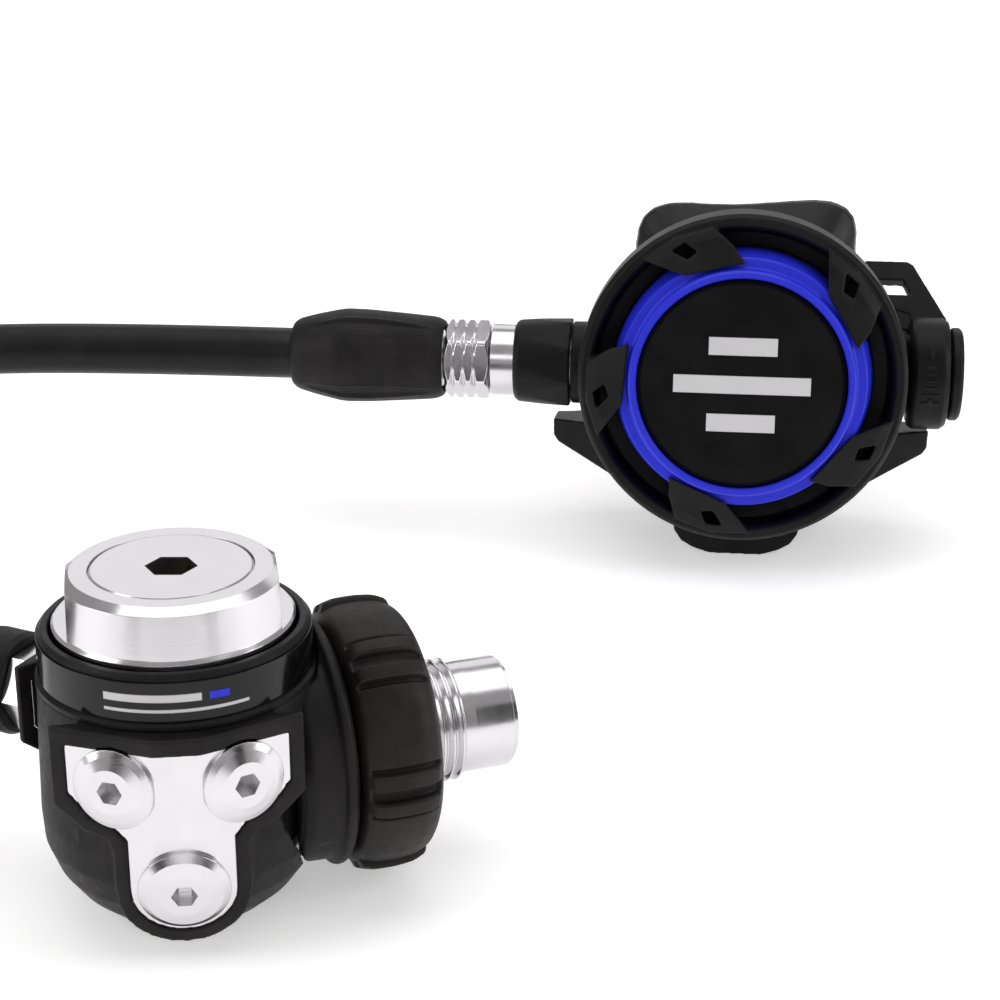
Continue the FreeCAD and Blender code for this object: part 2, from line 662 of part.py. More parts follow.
def polar(points):
    return [(radius * math.cos(math.radians(angle)), radius * math.sin(math.radians(angle)))
            for radius, angle in points]


def cover():
    rim = dim("ring_radius")
    ring = turned("ring_blank", [
        (rim - 1.0, -15.4), (rim + 0.5, -14.4), (rim + 0.1, -1.7), (rim - 0.9, -0.5),
        (rim - 2.6, -0.3), (rim - 3.4, -1.2), (rim - 4.1, -7.6), (31.0, -8.2), (31.0, -11.6),
        (35.9, -11.6), (35.9, -15.4)])
    # The claws rise from the rim towards the middle and reach over the blue ring.
    body = new_body("claws")
    pad = body.newObject("PartDesign::Pad", "claw_pad")
    pad.Profile = outline(body, "XY_Plane", polar(CLAW))
    pad.Length = 12.0
    pattern = body.newObject("PartDesign::PolarPattern", "claw_pattern")
    pattern.Originals = [pad]
    pattern.Axis = (origin_plane(body, "Z_Axis"), [""])
    pattern.Angle = 360.0
    pattern.Occurrences = CLAWS
    body.Tip = pattern
    body.Placement = at(z=-4.0)
    cone = turned("claw_cone", [
        (26.9, 4.7), (30.2, 4.7), (35.4, -3.0), (rim - 0.8, -3.0), (rim - 0.8, 0.5),
        (34.5, 3.0), (26.9, 6.6)])
    holes = []
    for index in range(CLAWS):
        hole = raised(f"claw_hole_{index}", polar(CLAW_HOLE), 12.0)
        hole.Placement = at(z=-5.0, turn=Rotation(UP, 72.0 * index))
        holes.append(hole)
    claws = cut("claws_with_holes", common("claws_sloped", body, cone), fuse("claw_holes", holes))
    keep(fuse("cover_ring", [ring, claws]), "cover_ring", FACE)
    keep(turned("blue_blank", [
        (24.75, 7.9), (25.15, 8.4), (26.1, 8.4), (26.6, 7.8), (26.9, 4.7), (27.3, 4.4),
        (29.1, 4.3), (29.4, 3.9), (30.9, -4.6), (30.9, -11.2), (29.6, -11.2), (29.6, -4.4),
        (28.3, 2.8), (26.0, 2.8), (26.0, -1.6), (24.75, -1.6)]), "accent_ring", FACE)
    button = dim("button_radius")
    keep(turned("button_blank", [
        (0, 8.8), (19.5, 8.5), (23.4, 7.9), (button, 7.0), (button, -2.0), (26.4, -2.0),
        (26.4, -3.0), (23.2, -3.0), (23.2, 6.4), (7.4, 7.0), (7.4, -4.4), (3.2, -4.4),
        (3.2, -15.6), (0, -15.6)]), "purge_button", FACE)
    bars = []
    for index, (middle, half) in enumerate([(9.0, 8.0), (0.0, 16.0), (-9.0, 8.0)]):
        bars.append(block(f"emblem_bar_{index}", 2 * half, 4.2, 1.0,
                          at(-half, middle - 2.1, 7.9)))
    inlay = common("emblem_inlay", fuse("emblem_bars", bars),
                   turned("emblem_dome", [(0, 8.0), (19.0, 8.0), (19.0, 8.7), (0, 9.0)]))
    under = turned("emblem_under", [(0, 7.0), (19.5, 7.0), (19.5, 8.5), (0, 8.8)])
    keep(cut("emblem_on_top", inlay, under), "emblem", FACE)
    keep(spring("purge_spring_coil", 5.4, PURGE_WIRE, -15.8, -4.6, PURGE_TURNS),
         "purge_spring", FACE)


def second_diaphragm():
    keep(turned("skirt", [
        (9.9, -16.6), (11.0, -16.0), (17.0, -16.0), (20.0, -13.4), (24.0, -13.4), (27.0, -16.2),
        (31.0, -16.2), (31.0, -12.6), (34.4, -12.6), (34.4, -15.3), (32.0, -15.3),
        (32.0, -16.9), (26.6, -16.9), (23.6, -14.1), (20.4, -14.1), (17.4, -16.7),
        (9.9, -16.7)]), "second_stage_diaphragm", FACE)
    keep(turned("plate", [(0, -15.9), (9.8, -15.9), (9.8, -16.8), (0, -16.8)]),
         "diaphragm_plate", FACE)


def case():
    """The housing behind the cover, with the barrel's bosses and the mouthpiece spigot."""
    bowl = turned("case_bowl", CASE_SKIN + [
        (0, -39.0), (0, -36.6), (28.0, -36.6), (31.4, -32.0), (32.4, -20.2), (32.4, -17.3),
        (35.4, -17.3), (35.4, -15.5)])
    depth = -number(dim("barrel_depth"))
    rise = number(dim("barrel_rise"))
    across = Rotation(Vector(0, 1, 0), 90)
    left = cylinder("left_boss", 10.2, 16.0, at(-42.0, rise, depth, across))
    right = cylinder("right_boss", 10.4, 14.0, at(26.0, rise, depth, across))
    spigot = raised("spigot_outer", ellipse(*SPIGOT), 16.0)
    spigot.Placement = at(0, MOUTH_RISE, -52.0)
    down = Rotation(Vector(1, 0, 0), -90)
    outlet = cylinder("outlet_boss", 13.5, 14.0, at(0, -38.0, -OUTLET_DEPTH, down))
    outside = fuse("case_outside", [bowl, left, right, spigot, outlet])
    barrel_way = cylinder("barrel_way", dim("valve_radius") + 0.06, 90.0,
                          at(-45.0, rise, depth, across))
    vane_way = cylinder("vane_way", VANE_RADIUS + 0.06, 32.0, at(12.0, rise, depth, across))
    airway = raised("airway", ellipse(*AIRWAY), 20.0)
    airway.Placement = at(0, MOUTH_RISE, -53.0)
    outlet_way = cylinder("outlet_way", 11.0, 18.0, at(0, -39.0, -OUTLET_DEPTH, down))
    room = turned("case_room", [(0, -36.6), (27.9, -36.6), (31.4, -32.0), (32.4, -20.2),
                                (32.4, -10.0), (0, -10.0)])
    spokes = [block("outlet_spoke_0", 22.6, 1.6, 1.6, at(-11.3, -36.0, -OUTLET_DEPTH - 0.8)),
              block("outlet_spoke_1", 1.6, 1.6, 22.6, at(-0.8, -36.0, -OUTLET_DEPTH - 11.3))]
    hub = cylinder("outlet_hub", 2.6, 1.6, at(0, -36.0, -OUTLET_DEPTH, down))
    hub_way = cylinder("outlet_hub_way", 1.05, 4.0, at(0, -37.0, -OUTLET_DEPTH, down))
    opened = cut("case_opened", outside,
                 fuse("case_ways", [barrel_way, vane_way, airway, outlet_way, room]))
    keep(cut("case_finished", fuse("case_with_spokes", [opened, hub] + spokes), hub_way),
         "case", FACE)


def ellipse(wide, tall, count=32):
    return [(wide * math.cos(2 * math.pi * k / count), tall * math.sin(2 * math.pi * k / count))
            for k in range(count)]


def tee_block(name, front, plan, back):
    """The tee's solid: an outline seen from the front crossed with one seen from above."""
    seen = raised(name + "_front", front + [(-x, y) for x, y in reversed(front)], 40.0)
    seen.Placement = at(z=-50.0)
    above = plan + [(-x, y) for x, y in reversed(plan)]
    above += [(-plan[0][0] + 12.0, back), (plan[0][0] - 12.0, back)]
    # Sketch y becomes z, and the prism runs downwards.
    flat = raised(name + "_plan", above, 50.0)
    flat.Placement = at(y=-5.0, turn=Rotation(Vector(1, 0, 0), 90))
    return common(name, seen, flat)


def exhaust():
    """The flap under the case and the tee that leads the bubbles to both sides."""
    keep(turned("flap", [(0, 33.2), (1.4, 33.8), (1.0, 34.35), (1.0, 38.15), (12.2, 38.15),
                         (12.6, 38.5), (1.6, 39.4), (0, 39.4)]), "exhaust_valve", OUTLET)
    # Corners of the right half seen from the front, from the wing's top to the bottom.
    skin = tee_block("tee_skin", [
        (46.6, -15.0), (46.6, -18.9), (45.3, -20.7), (36.0, -25.0), (25.5, -30.0), (15.8, -36.0),
        (15.2, -40.0), (13.4, -42.6), (10.6, -44.2), (6.0, -45.6), (2.0, -46.0)],
        [(47.0, -40.0), (47.0, -27.5), (38.0, -22.0), (30.0, -17.0), (24.0, -15.6)], -44.6)
    duct = tee_block("tee_duct", [
        (48.5, -16.3), (48.5, -19.2), (44.8, -19.2), (35.2, -23.6), (24.8, -28.6), (14.3, -35.2),
        (13.9, -40.6)],
        [(49.0, -38.5), (49.0, -29.0), (37.2, -23.6), (29.0, -18.6), (23.5, -17.1)], -43.1)
    wall = 1.5
    roof = turned("tee_roof", [(0, -45.0), (29.0 + wall, -45.0), (29.0 + wall, -39.4),
                               (33.6 + wall, -33.2), (35.2 + wall, -19.8), (36.6 + wall, -17.6),
                               (36.6 + wall, -15.0), (0, -15.0)])
    floor = block("tee_floor", 200.0, 200.0, 50.0,
                  FACE.inverse() * at(0, 50.0, -50.0 + wall))
    air = cut("tee_air", duct, fuse("tee_walls", [roof, floor]))
    bowl = turned("tee_bowl_cut", [(0, -46.0), (29.1, -46.0), (29.1, -39.1), (33.75, -33.0),
                                   (35.35, -20.0), (36.75, -17.4), (36.75, -15.0), (0, -15.0)])
    boss = cylinder("tee_boss_cut", 13.56, 40.0, OUTLET_IN_FACE)
    ground = block("ground", 200.0, 200.0, 50.0, FACE.inverse() * at(0, 50.0, -50.0))
    shell = cut("tee_shell", skin, fuse("tee_cuts", [air, bowl, boss, ground]))
    keep(shell, "exhaust_tee", FACE)


def rounded_section(depth, rise, wide, tall, square):
    """A closed rounded rectangle across the mouthpiece."""
    roll = Rotation(Vector(0, 0, 1), MOUTH_ROLL * max(0.0, depth - 50.0) / 20.0)
    points = []
    count = 32
    for index in range(count):
        angle = 2 * math.pi * (index + 0.5) / count
        c = math.cos(angle)
        q = math.sin(angle)
        x = wide * math.copysign(abs(c) ** square, c)
        y = tall * math.copysign(abs(q) ** square, q)
        points.append(roll.multVec(Vector(x, y, 0)) + Vector(0, rise, -depth))
    return Part.makePolygon(points + points[:1])


def mouthpiece():
    outside = Part.makeLoft([rounded_section(*row) for row in MOUTH_OUTSIDE], True, True)
    inside = Part.makeLoft([rounded_section(*row) for row in MOUTH_INSIDE], True, True)
    tabs = []
    for side in (-1, 1):
        stalk = Part.makeBox(9.0, 5.0, 15.0, Vector(-4.5, -2.5, -15.0))
        stalk.Placement = at(side * 20.5, 19.0, -69.5)
        pad = Part.makeBox(9.0, 13.0, 3.4, Vector(-4.5, -6.5, -3.4))
        pad.Placement = at(side * 20.5, 19.0, -81.2)
        tabs += [stalk, pad]
    around = [Vector(x * 1.003, y * 1.003 + MOUTH_RISE, -40.0) for x, y in ellipse(*SPIGOT)]
    seat = Part.Face(Part.Wire(Part.makePolygon(around + around[:1])))
    socket = seat.extrude(Vector(0, 0, -12.2))
    grip = outside.cut(inside).cut(socket).fuse(tabs).removeSplitter()
    keep(made("mouthpiece_solid", grip), "mouthpiece", FACE)
    band = raised("band_outer", ellipse(20.6, 14.1), 4.6)
    band_way = raised("band_inner", ellipse(19.3, 12.8), 7.0)
    band_way.Placement = at(z=-1.0)
    latch = block("band_latch", 5.4, 3.6, 6.6, at(-2.7, 12.9, -0.8))
    tie = cut("tie_band", fuse("tie_with_latch", [band, latch]), band_way)
    keep(tie, "mouthpiece_tie", FACE * at(0, MOUTH_RISE, -49.2))


def valve():
    """Everything on the valve axis, z towards the knob."""
    radius = dim("valve_radius")
    tube = turned("barrel_tube", [
        (5.0, -42.0), (radius, -42.0), (radius, 52.0), (4.4, 52.0), (4.4, -20.0), (5.0, -20.0)])
    slot = block("lever_slot", 14.0, 8.0, 18.0, at(-7.0, -11.6, -3.0))
    jet = cylinder("air_jet", 2.4, 12.0, at(0, 0, 20.0, Rotation(Vector(1, 0, 0), -90)))
    keep(cut("barrel", tube, fuse("barrel_cuts", [slot, jet])), "valve_barrel", VALVE)
    keep(turned("inlet_tube", [
        (3.4, -62.2), (7.0, -62.2), (7.0, -61.9), (8.9, -61.9), (8.9, -56.3), (7.05, -56.3),
        (7.05, -42.1), (4.95, -42.1), (4.95, -30.0), (3.4, -30.0)]), "inlet_fitting", VALVE)
    octagon = raised("collar_octagon", regular(8, 21.0, 22.5), 13.9)
    octagon.Placement = at(z=-56.2)
    taper = turned("collar_taper", [(7.1, -56.2), (9.5, -56.2), (10.2, -55.2), (11.3, -42.3),
                                    (7.1, -42.3)])
    keep(common("octagon_collar", octagon, taper), "inlet_collar", VALVE)
    keep(turned("orifice_cone", [
        (1.9, -29.9), (4.9, -29.9), (4.9, -22.0), (3.4, -20.4), (2.8, -18.0), (2.2, -18.0),
        (1.9, -20.0)]), "inlet_orifice", VALVE)
    keep(turned("seat_disc", [(0, -17.95), (3.2, -17.95), (3.2, -16.0), (0, -16.0)]),
         "valve_seat_disc", VALVE)
    keep(turned("poppet", [
        (0, -16.0), (4.33, -16.0), (4.33, -11.0), (1.5, -8.6), (1.5, 11.3), (3.2, 11.3),
        (3.2, 13.0), (1.5, 13.0), (1.5, 17.0), (0, 17.0)]), "second_stage_valve", VALVE)
    keep(spring("valve_spring", 3.3, 0.4, 13.3, 33.6, 13.0), "second_stage_valve_spring", VALVE)
    keep(turned("chamber", [(0, 33.8), (4.34, 33.8), (4.34, 50.0), (0, 50.0)]),
         "balance_chamber", VALVE)
    demand_lever()
    flow_control()


def demand_lever():
    """A forked lever: its axle lies in the barrel's slot and its arm reaches the diaphragm."""
    axle = cylinder("lever_axle", 0.8, 9.6, at(-4.8, -4.55, 10.0, Rotation(Vector(0, 1, 0), 90)))
    legs = [block(f"lever_leg_{side}", 0.6, 2.6, 1.5, at(2.05 * side - 0.3, -5.0, 9.6))
            for side in (-1, 1)]
    arm = raised("lever_arm", [(10.9, -5.3), (-1.0, -9.0), (-2.0, -9.0), (-2.0, -8.3),
                               (-0.8, -8.1), (10.5, -4.4)], 4.7)
    arm.Placement = Placement(Vector(2.35, 0, 0),
                              Rotation(Vector(0, 0, 1), Vector(0, 1, 0), Vector(-1, 0, 0), "ZXY"))
    keep(fuse("lever", [axle, arm] + legs), "demand_lever", VALVE)


def flow_control():
    """The knob with its thumb tab, the vane that it turns, and the barrel's end cap."""
    radius = dim("valve_radius")
    rim = dim("knob_radius")
    knob = turned("knob", [
        (radius + 0.05, 40.4), (11.4, 40.4), (rim - 0.6, 41.0), (rim, 42.0), (rim, 48.6),
        (rim - 1.0, 50.0), (radius + 0.05, 50.0)])
    plate = raised("tab_plate", [(29.0, 21.2), (29.0, 29.5), (30.2, 30.5), (40.4, 30.5),
                                 (41.8, 29.7), (50.0, 14.5), (50.0, 9.5), (41.0, 9.5),
                                 (41.0, 15.5), (33.6, 17.6)], 3.4)
    window = raised("tab_window", [(33.0, 21.0), (33.0, 25.2), (39.4, 25.2), (41.2, 21.0)], 6.0)
    back = math.radians(LEVER_BACK)
    along = Vector(0, 0, 1)
    outwards = Vector(-math.cos(back), math.sin(back), 0)
    turn = Rotation(along, outwards, along.cross(outwards), "ZXY")
    plate.Placement = Placement(Vector(), turn) * at(z=-1.7)
    window.Placement = Placement(Vector(), turn) * at(z=-3.0)
    way = cylinder("knob_way", radius + 0.05, 20.0, at(z=36.0))
    lever = cut("knob_and_tab", fuse("knob_with_tab", [knob, plate]), fuse("knob_cuts", [window, way]))
    keep(lever, "flow_lever", VALVE)
    sleeve = turned("vane_sleeve", [(radius + 0.1, 14.5), (VANE_RADIUS, 14.5), (VANE_RADIUS, 40.35),
                                    (radius + 0.1, 40.35)])
    port = block("vane_port", 10.0, 12.0, 7.0, at(-5.0, 2.0, 16.5))
    keep(cut("vane", sleeve, port), "flow_vane", VALVE)
    keep(turned("end_cap_disc", [
        (radius + 0.02, 50.3), (10.6, 50.3), (11.4, 51.0), (11.4, 52.6), (10.6, 53.4),
        (0, 53.4), (0, 52.1), (radius + 0.02, 52.1)]), "barrel_end_cap", VALVE)


def main():
    first_stage_core()
    end_cap()
    regulating_parts()
    collar_and_jacket()
    port_plugs()
    din_inlet()
    hose_tube()
    hose_fittings()
    cover()
    second_diaphragm()
    case()
    valve()
    exhaust()
    mouthpiece()
    doc.recompute()
    write()


def write():
    broken = [thing.Name for thing in doc.Objects
              if any(flag in ("Invalid", "Error") for flag in thing.State)]
    for label, thing in NODES.items():
        if thing.Shape.isNull() or not thing.Shape.isValid() or not thing.Shape.Solids:
            broken.append(label)
    if broken:
        raise SystemExit(f"failed: {broken}")
    os.makedirs("parts", exist_ok=True)
    for label, thing in NODES.items():
        thing.Shape.exportStep(f"parts/{label}.step")
    print(len(NODES), "nodes")


main()
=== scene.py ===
import json
import math

import bmesh
import bpy
from mathutils import Matrix, Vector

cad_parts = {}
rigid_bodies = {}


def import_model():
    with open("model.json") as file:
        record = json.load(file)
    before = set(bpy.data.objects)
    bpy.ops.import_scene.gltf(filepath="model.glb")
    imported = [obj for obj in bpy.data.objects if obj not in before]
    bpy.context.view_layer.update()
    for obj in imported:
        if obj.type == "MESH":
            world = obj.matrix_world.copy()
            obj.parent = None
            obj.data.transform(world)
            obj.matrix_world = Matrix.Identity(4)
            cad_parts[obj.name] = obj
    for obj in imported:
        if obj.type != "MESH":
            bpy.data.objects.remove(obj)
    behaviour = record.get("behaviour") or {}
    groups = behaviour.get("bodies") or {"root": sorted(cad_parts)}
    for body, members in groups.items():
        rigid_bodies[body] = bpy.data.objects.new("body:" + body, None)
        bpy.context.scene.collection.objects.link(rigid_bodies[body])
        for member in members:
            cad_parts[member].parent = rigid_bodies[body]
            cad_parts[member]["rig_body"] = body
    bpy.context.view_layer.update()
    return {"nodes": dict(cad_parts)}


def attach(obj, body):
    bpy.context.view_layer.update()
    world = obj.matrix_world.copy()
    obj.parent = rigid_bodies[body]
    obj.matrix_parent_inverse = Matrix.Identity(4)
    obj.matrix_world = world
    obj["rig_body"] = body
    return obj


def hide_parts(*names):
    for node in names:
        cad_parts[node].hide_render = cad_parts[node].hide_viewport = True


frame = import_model()
BODY_OF = {name: piece["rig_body"] for name, piece in frame["nodes"].items()}

MM = 0.001


# ---------------------------------------------------------------- frames, as in the CAD model
# Lengths are in millimetres, except where a comment says metres.
def frame_of(origin, x_axis, y_axis, z_axis):
    """A 4x4 matrix from millimetres in a local frame to metres in the model's frame."""
    columns = [Vector(axis) * MM for axis in (x_axis, y_axis, z_axis)] + [Vector(origin) * MM]
    return Matrix([[column[row] for column in columns] for row in range(3)] + [[0, 0, 0, 1]])


FACE_CENTRE = Vector((114.2, 151.2, 47.6))
YAW = math.radians(-6.0)
LEAN = math.radians(-10.4)
SECOND_TURN = Matrix.Rotation(YAW, 3, "Z") @ Matrix.Rotation(LEAN, 3, "X")
ACROSS = SECOND_TURN @ Vector((1, 0, 0))
INTO = SECOND_TURN @ Vector((0, 1, 0))
RISE = SECOND_TURN @ Vector((0, 0, 1))
BARREL_DEPTH = 26.0
BARREL_RISE = -0.4
VALVE_CENTRE = FACE_CENTRE + INTO * BARREL_DEPTH + RISE * BARREL_RISE

DIN_AZIMUTH = math.radians(20.0)
DIN_HEIGHT = 26.0
DIN_AXIS = Vector((math.cos(DIN_AZIMUTH), math.sin(DIN_AZIMUTH), 0))
PORT_AZIMUTH = math.radians(154.0)
PORT_HEIGHT = 34.2
PORT_AXIS = Vector((math.cos(PORT_AZIMUTH), math.sin(PORT_AZIMUTH), 0))
UP = Vector((0, 0, 1))

BODY = frame_of((0, 0, 0), (1, 0, 0), (0, 1, 0), (0, 0, 1))
FACE = frame_of(FACE_CENTRE, ACROSS, RISE, -INTO)       # z out of the cover, x to the knob
VALVE = frame_of(VALVE_CENTRE, -RISE, INTO, ACROSS)     # z along the valve, to the knob
DIN = frame_of(UP * DIN_HEIGHT, -UP, UP.cross(DIN_AXIS), DIN_AXIS)


# ---------------------------------------------------------------- camera, in metres
CAMERA_PLACE = (0.0569, -0.36567, 0.21914)
CAMERA_TILT = math.radians(68.65)
CAMERA_LENS = 82.62                 # these two in millimetres
CAMERA_SENSOR = 36.0
CAMERA_RANGE = (0.01, 20.0)


def set_camera():
    data = bpy.data.cameras.new("camera")
    data.lens = CAMERA_LENS
    data.sensor_width = CAMERA_SENSOR
    data.clip_start, data.clip_end = CAMERA_RANGE
    camera = bpy.data.objects.new("camera", data)
    camera.location = CAMERA_PLACE
    camera.rotation_euler = (CAMERA_TILT, 0, 0)
    bpy.context.collection.objects.link(camera)
    bpy.context.scene.camera = camera


# ---------------------------------------------------------------- node tools
EDGE_POINTINESS = (0.52, 0.60)


class Recipe:
    """A node material built a step at a time around one Principled shader."""

    def __init__(self, name, color, roughness, metallic=0.0, specular=0.5):
        self.material = bpy.data.materials.new(name)
        self.material.use_nodes = True
        self.tree = self.material.node_tree
        self.shader = self.tree.nodes["Principled BSDF"]
        self.shader.inputs["Base Color"].default_value = (*color, 1)
        self.shader.inputs["Roughness"].default_value = roughness
        self.shader.inputs["Metallic"].default_value = metallic
        self.shader.inputs["Specular IOR Level"].default_value = specular
        self.position = self.add("ShaderNodeTexCoord").outputs["Object"]

    def add(self, kind, **settings):
        node = self.tree.nodes.new(kind)
        for key, value in settings.items():
            setattr(node, key, value)
        return node

    def link(self, source, target):
        self.tree.links.new(source, target)

    def feed(self, sockets, values):
        """Gives each socket its value, or links it where the value is another node's output."""
        for socket, value in zip(sockets, values):
            if isinstance(value, bpy.types.NodeSocket):
                self.link(value, socket)
            else:
                socket.default_value = value

    def math(self, operation, first, second=0.0):
        node = self.add("ShaderNodeMath", operation=operation)
        self.feed(node.inputs, (first, second))
        return node.outputs[0]

    def vector(self, operation, first, second=(0, 0, 0), output=0):
        node = self.add("ShaderNodeVectorMath", operation=operation)
        self.feed(node.inputs, (first, second))
        return node.outputs[output]

    def noise(self, size, detail=2.0, stretch=None):
        """Noise whose grains are about size metres across."""
        node = self.add("ShaderNodeTexNoise")
        node.inputs["Scale"].default_value = 1.0 / size
        node.inputs["Detail"].default_value = detail
        place = self.position
        if stretch is not None:
            place = self.vector("MULTIPLY", place, stretch)
        self.link(place, node.inputs["Vector"])
        return node.outputs["Fac"]

    def ramp(self, value, low, high, to_low=0.0, to_high=1.0):
        node = self.add("ShaderNodeMapRange")
        node.inputs["From Min"].default_value = low
        node.inputs["From Max"].default_value = high
        node.inputs["To Min"].default_value = to_low
        node.inputs["To Max"].default_value = to_high
        self.link(value, node.inputs["Value"])
        return node.outputs["Result"]

    def mix(self, factor, first, second):
        """A colour between two others; each is an output or three numbers."""
        node = self.add("ShaderNodeMix", data_type="RGBA")
        self.link(factor, node.inputs["Factor"])
        colors = [value if isinstance(value, bpy.types.NodeSocket) else (*value, 1)
                  for value in (first, second)]
        self.feed((node.inputs[6], node.inputs[7]), colors)
        return node.outputs[2]

    def worn_edges(self):
        """1 along convex edges, 0 elsewhere."""
        geometry = self.add("ShaderNodeNewGeometry")
        return self.ramp(geometry.outputs["Pointiness"], *EDGE_POINTINESS)

    def bump(self, layers, edge):
        """Bump from (height, metres) layers over slightly rounded edges."""
        soft = self.add("ShaderNodeBevel", samples=4)
        soft.inputs["Radius"].default_value = edge
        normal = soft.outputs["Normal"]
        for height, distance in layers:
            node = self.add("ShaderNodeBump")
            node.inputs["Distance"].default_value = distance
            node.inputs["Strength"].default_value = 1.0
            self.link(height, node.inputs["Height"])
            self.link(normal, node.inputs["Normal"])
            normal = node.outputs["Normal"]
        self.link(normal, self.shader.inputs["Normal"])

    def color(self, socket):
        self.link(socket, self.shader.inputs["Base Color"])

    def roughness(self, socket):
        self.link(socket, self.shader.inputs["Roughness"])


# ---------------------------------------------------------------- materials, in metres
MIDDLE_OF_NOISE = (0.3, 0.7)        # the range that most of a noise's values fall in

RINGS_PER_METRE = 9000.0            # lathe rings
RING_DRIFT = 0.83                   # how much the height counts beside the radius
RING_ROUGHNESS = 0.035
RING_DEPTH = 0.0000016
HAZE_SIZE = 0.006
HAZE_SHADE = 0.94
HAZE_ROUGHNESS = (-0.03, 0.05)
MARK_SIZE = 0.0009                  # handling marks
MARK_STRETCH = (1.0, 1.0, 0.15)
MARK_DEPTH = 0.000002
METAL_EDGE = 0.00018


def turned_metal(name, color, roughness, origin, axis):
    """Lathe-turned metal: fine rings about the axis, a little haze and faint handling marks."""
    recipe = Recipe(name, color, roughness, metallic=1.0)
    offset = recipe.vector("SUBTRACT", recipe.position, tuple(Vector(origin) * MM))
    along = recipe.vector("PROJECT", offset, tuple(axis))
    away = recipe.vector("SUBTRACT", offset, along)
    radius = recipe.vector("LENGTH", away, output=1)
    height = recipe.vector("DOT_PRODUCT", offset, tuple(axis), output=1)
    place = recipe.math("ADD", radius, recipe.math("MULTIPLY", height, RING_DRIFT))
    lines = recipe.add("ShaderNodeTexNoise", noise_dimensions="1D")
    lines.inputs["Scale"].default_value = RINGS_PER_METRE
    lines.inputs["Detail"].default_value = 2.0
    recipe.link(place, lines.inputs["W"])
    haze = recipe.noise(HAZE_SIZE, detail=3.0)
    marks = recipe.noise(MARK_SIZE, detail=2.0, stretch=MARK_STRETCH)
    hazy = tuple(c * HAZE_SHADE for c in color)
    recipe.color(recipe.mix(recipe.ramp(haze, *MIDDLE_OF_NOISE), hazy, color))
    fine = recipe.ramp(lines.outputs["Fac"], *MIDDLE_OF_NOISE, -RING_ROUGHNESS, RING_ROUGHNESS)
    low, high = (roughness + change for change in HAZE_ROUGHNESS)
    recipe.roughness(recipe.math("ADD", recipe.ramp(haze, *MIDDLE_OF_NOISE, low, high), fine))
    recipe.bump([(lines.outputs["Fac"], RING_DEPTH), (marks, MARK_DEPTH)], METAL_EDGE)
    return recipe.material


WAVE_SIZE = 0.009                   # soft mottling
WAVE_RANGE = (0.35, 0.65)
WAVE_DEPTH = 0.00002
PALE_LIFT = 0.0015
DUST_SIZE = 0.0016
DUST_ROUGHNESS = (-0.05, 0.06)
RUBBED_SHADE = 1.9                  # edges rubbed by use
RUBBED_LIFT = 0.004
RUBBED_ROUGHNESS = -0.08
MOULDED_EDGE = 0.0003


def moulded(name, color, roughness, grain, depth, specular=0.35, mottling=0.35, worn_by=1.0):
    """Moulded rubber or plastic: a fine grain, soft mottling and edges rubbed a little shiny."""
    recipe = Recipe(name, color, roughness, specular=specular)
    pits = recipe.noise(grain, detail=3.0)
    waves = recipe.noise(WAVE_SIZE, detail=3.0)
    dust = recipe.noise(DUST_SIZE, detail=4.0)
    pale = tuple(min(1.0, c * (1 + mottling) + PALE_LIFT) for c in color)
    cloud = recipe.mix(recipe.ramp(waves, *WAVE_RANGE), color, pale)
    worn = recipe.math("MULTIPLY", recipe.worn_edges(), worn_by)
    rubbed = tuple(min(1.0, c * RUBBED_SHADE + RUBBED_LIFT) for c in color)
    recipe.color(recipe.mix(worn, cloud, rubbed))
    low, high = (roughness + change for change in DUST_ROUGHNESS)
    recipe.roughness(recipe.math("ADD", recipe.ramp(dust, *MIDDLE_OF_NOISE, low, high),
                                 recipe.math("MULTIPLY", worn, RUBBED_ROUGHNESS)))
    recipe.bump([(waves, WAVE_DEPTH), (pits, depth)], MOULDED_EDGE)
    return recipe.material


SILVER = (0.72, 0.71, 0.725)
BRASS = (0.55, 0.40, 0.18)
STEEL = (0.46, 0.46, 0.48)

# Name, colour, roughness, a point of the axis, and the axis that the lathe rings run about.
METALS = [
    ("cap_metal", SILVER, 0.17, (0, 0, 0), UP),
    ("body_metal", SILVER, 0.2, (0, 0, -400), UP),
    ("din_metal", SILVER, 0.18, UP * DIN_HEIGHT, DIN_AXIS),
    ("valve_metal", SILVER, 0.18, VALVE_CENTRE, ACROSS),
    ("port_metal", SILVER, 0.2, UP * PORT_HEIGHT, PORT_AXIS),
    ("brass", BRASS, 0.26, (0, 0, 0), UP),
    ("steel", STEEL, 0.28, (0, 0, 0), UP),
]

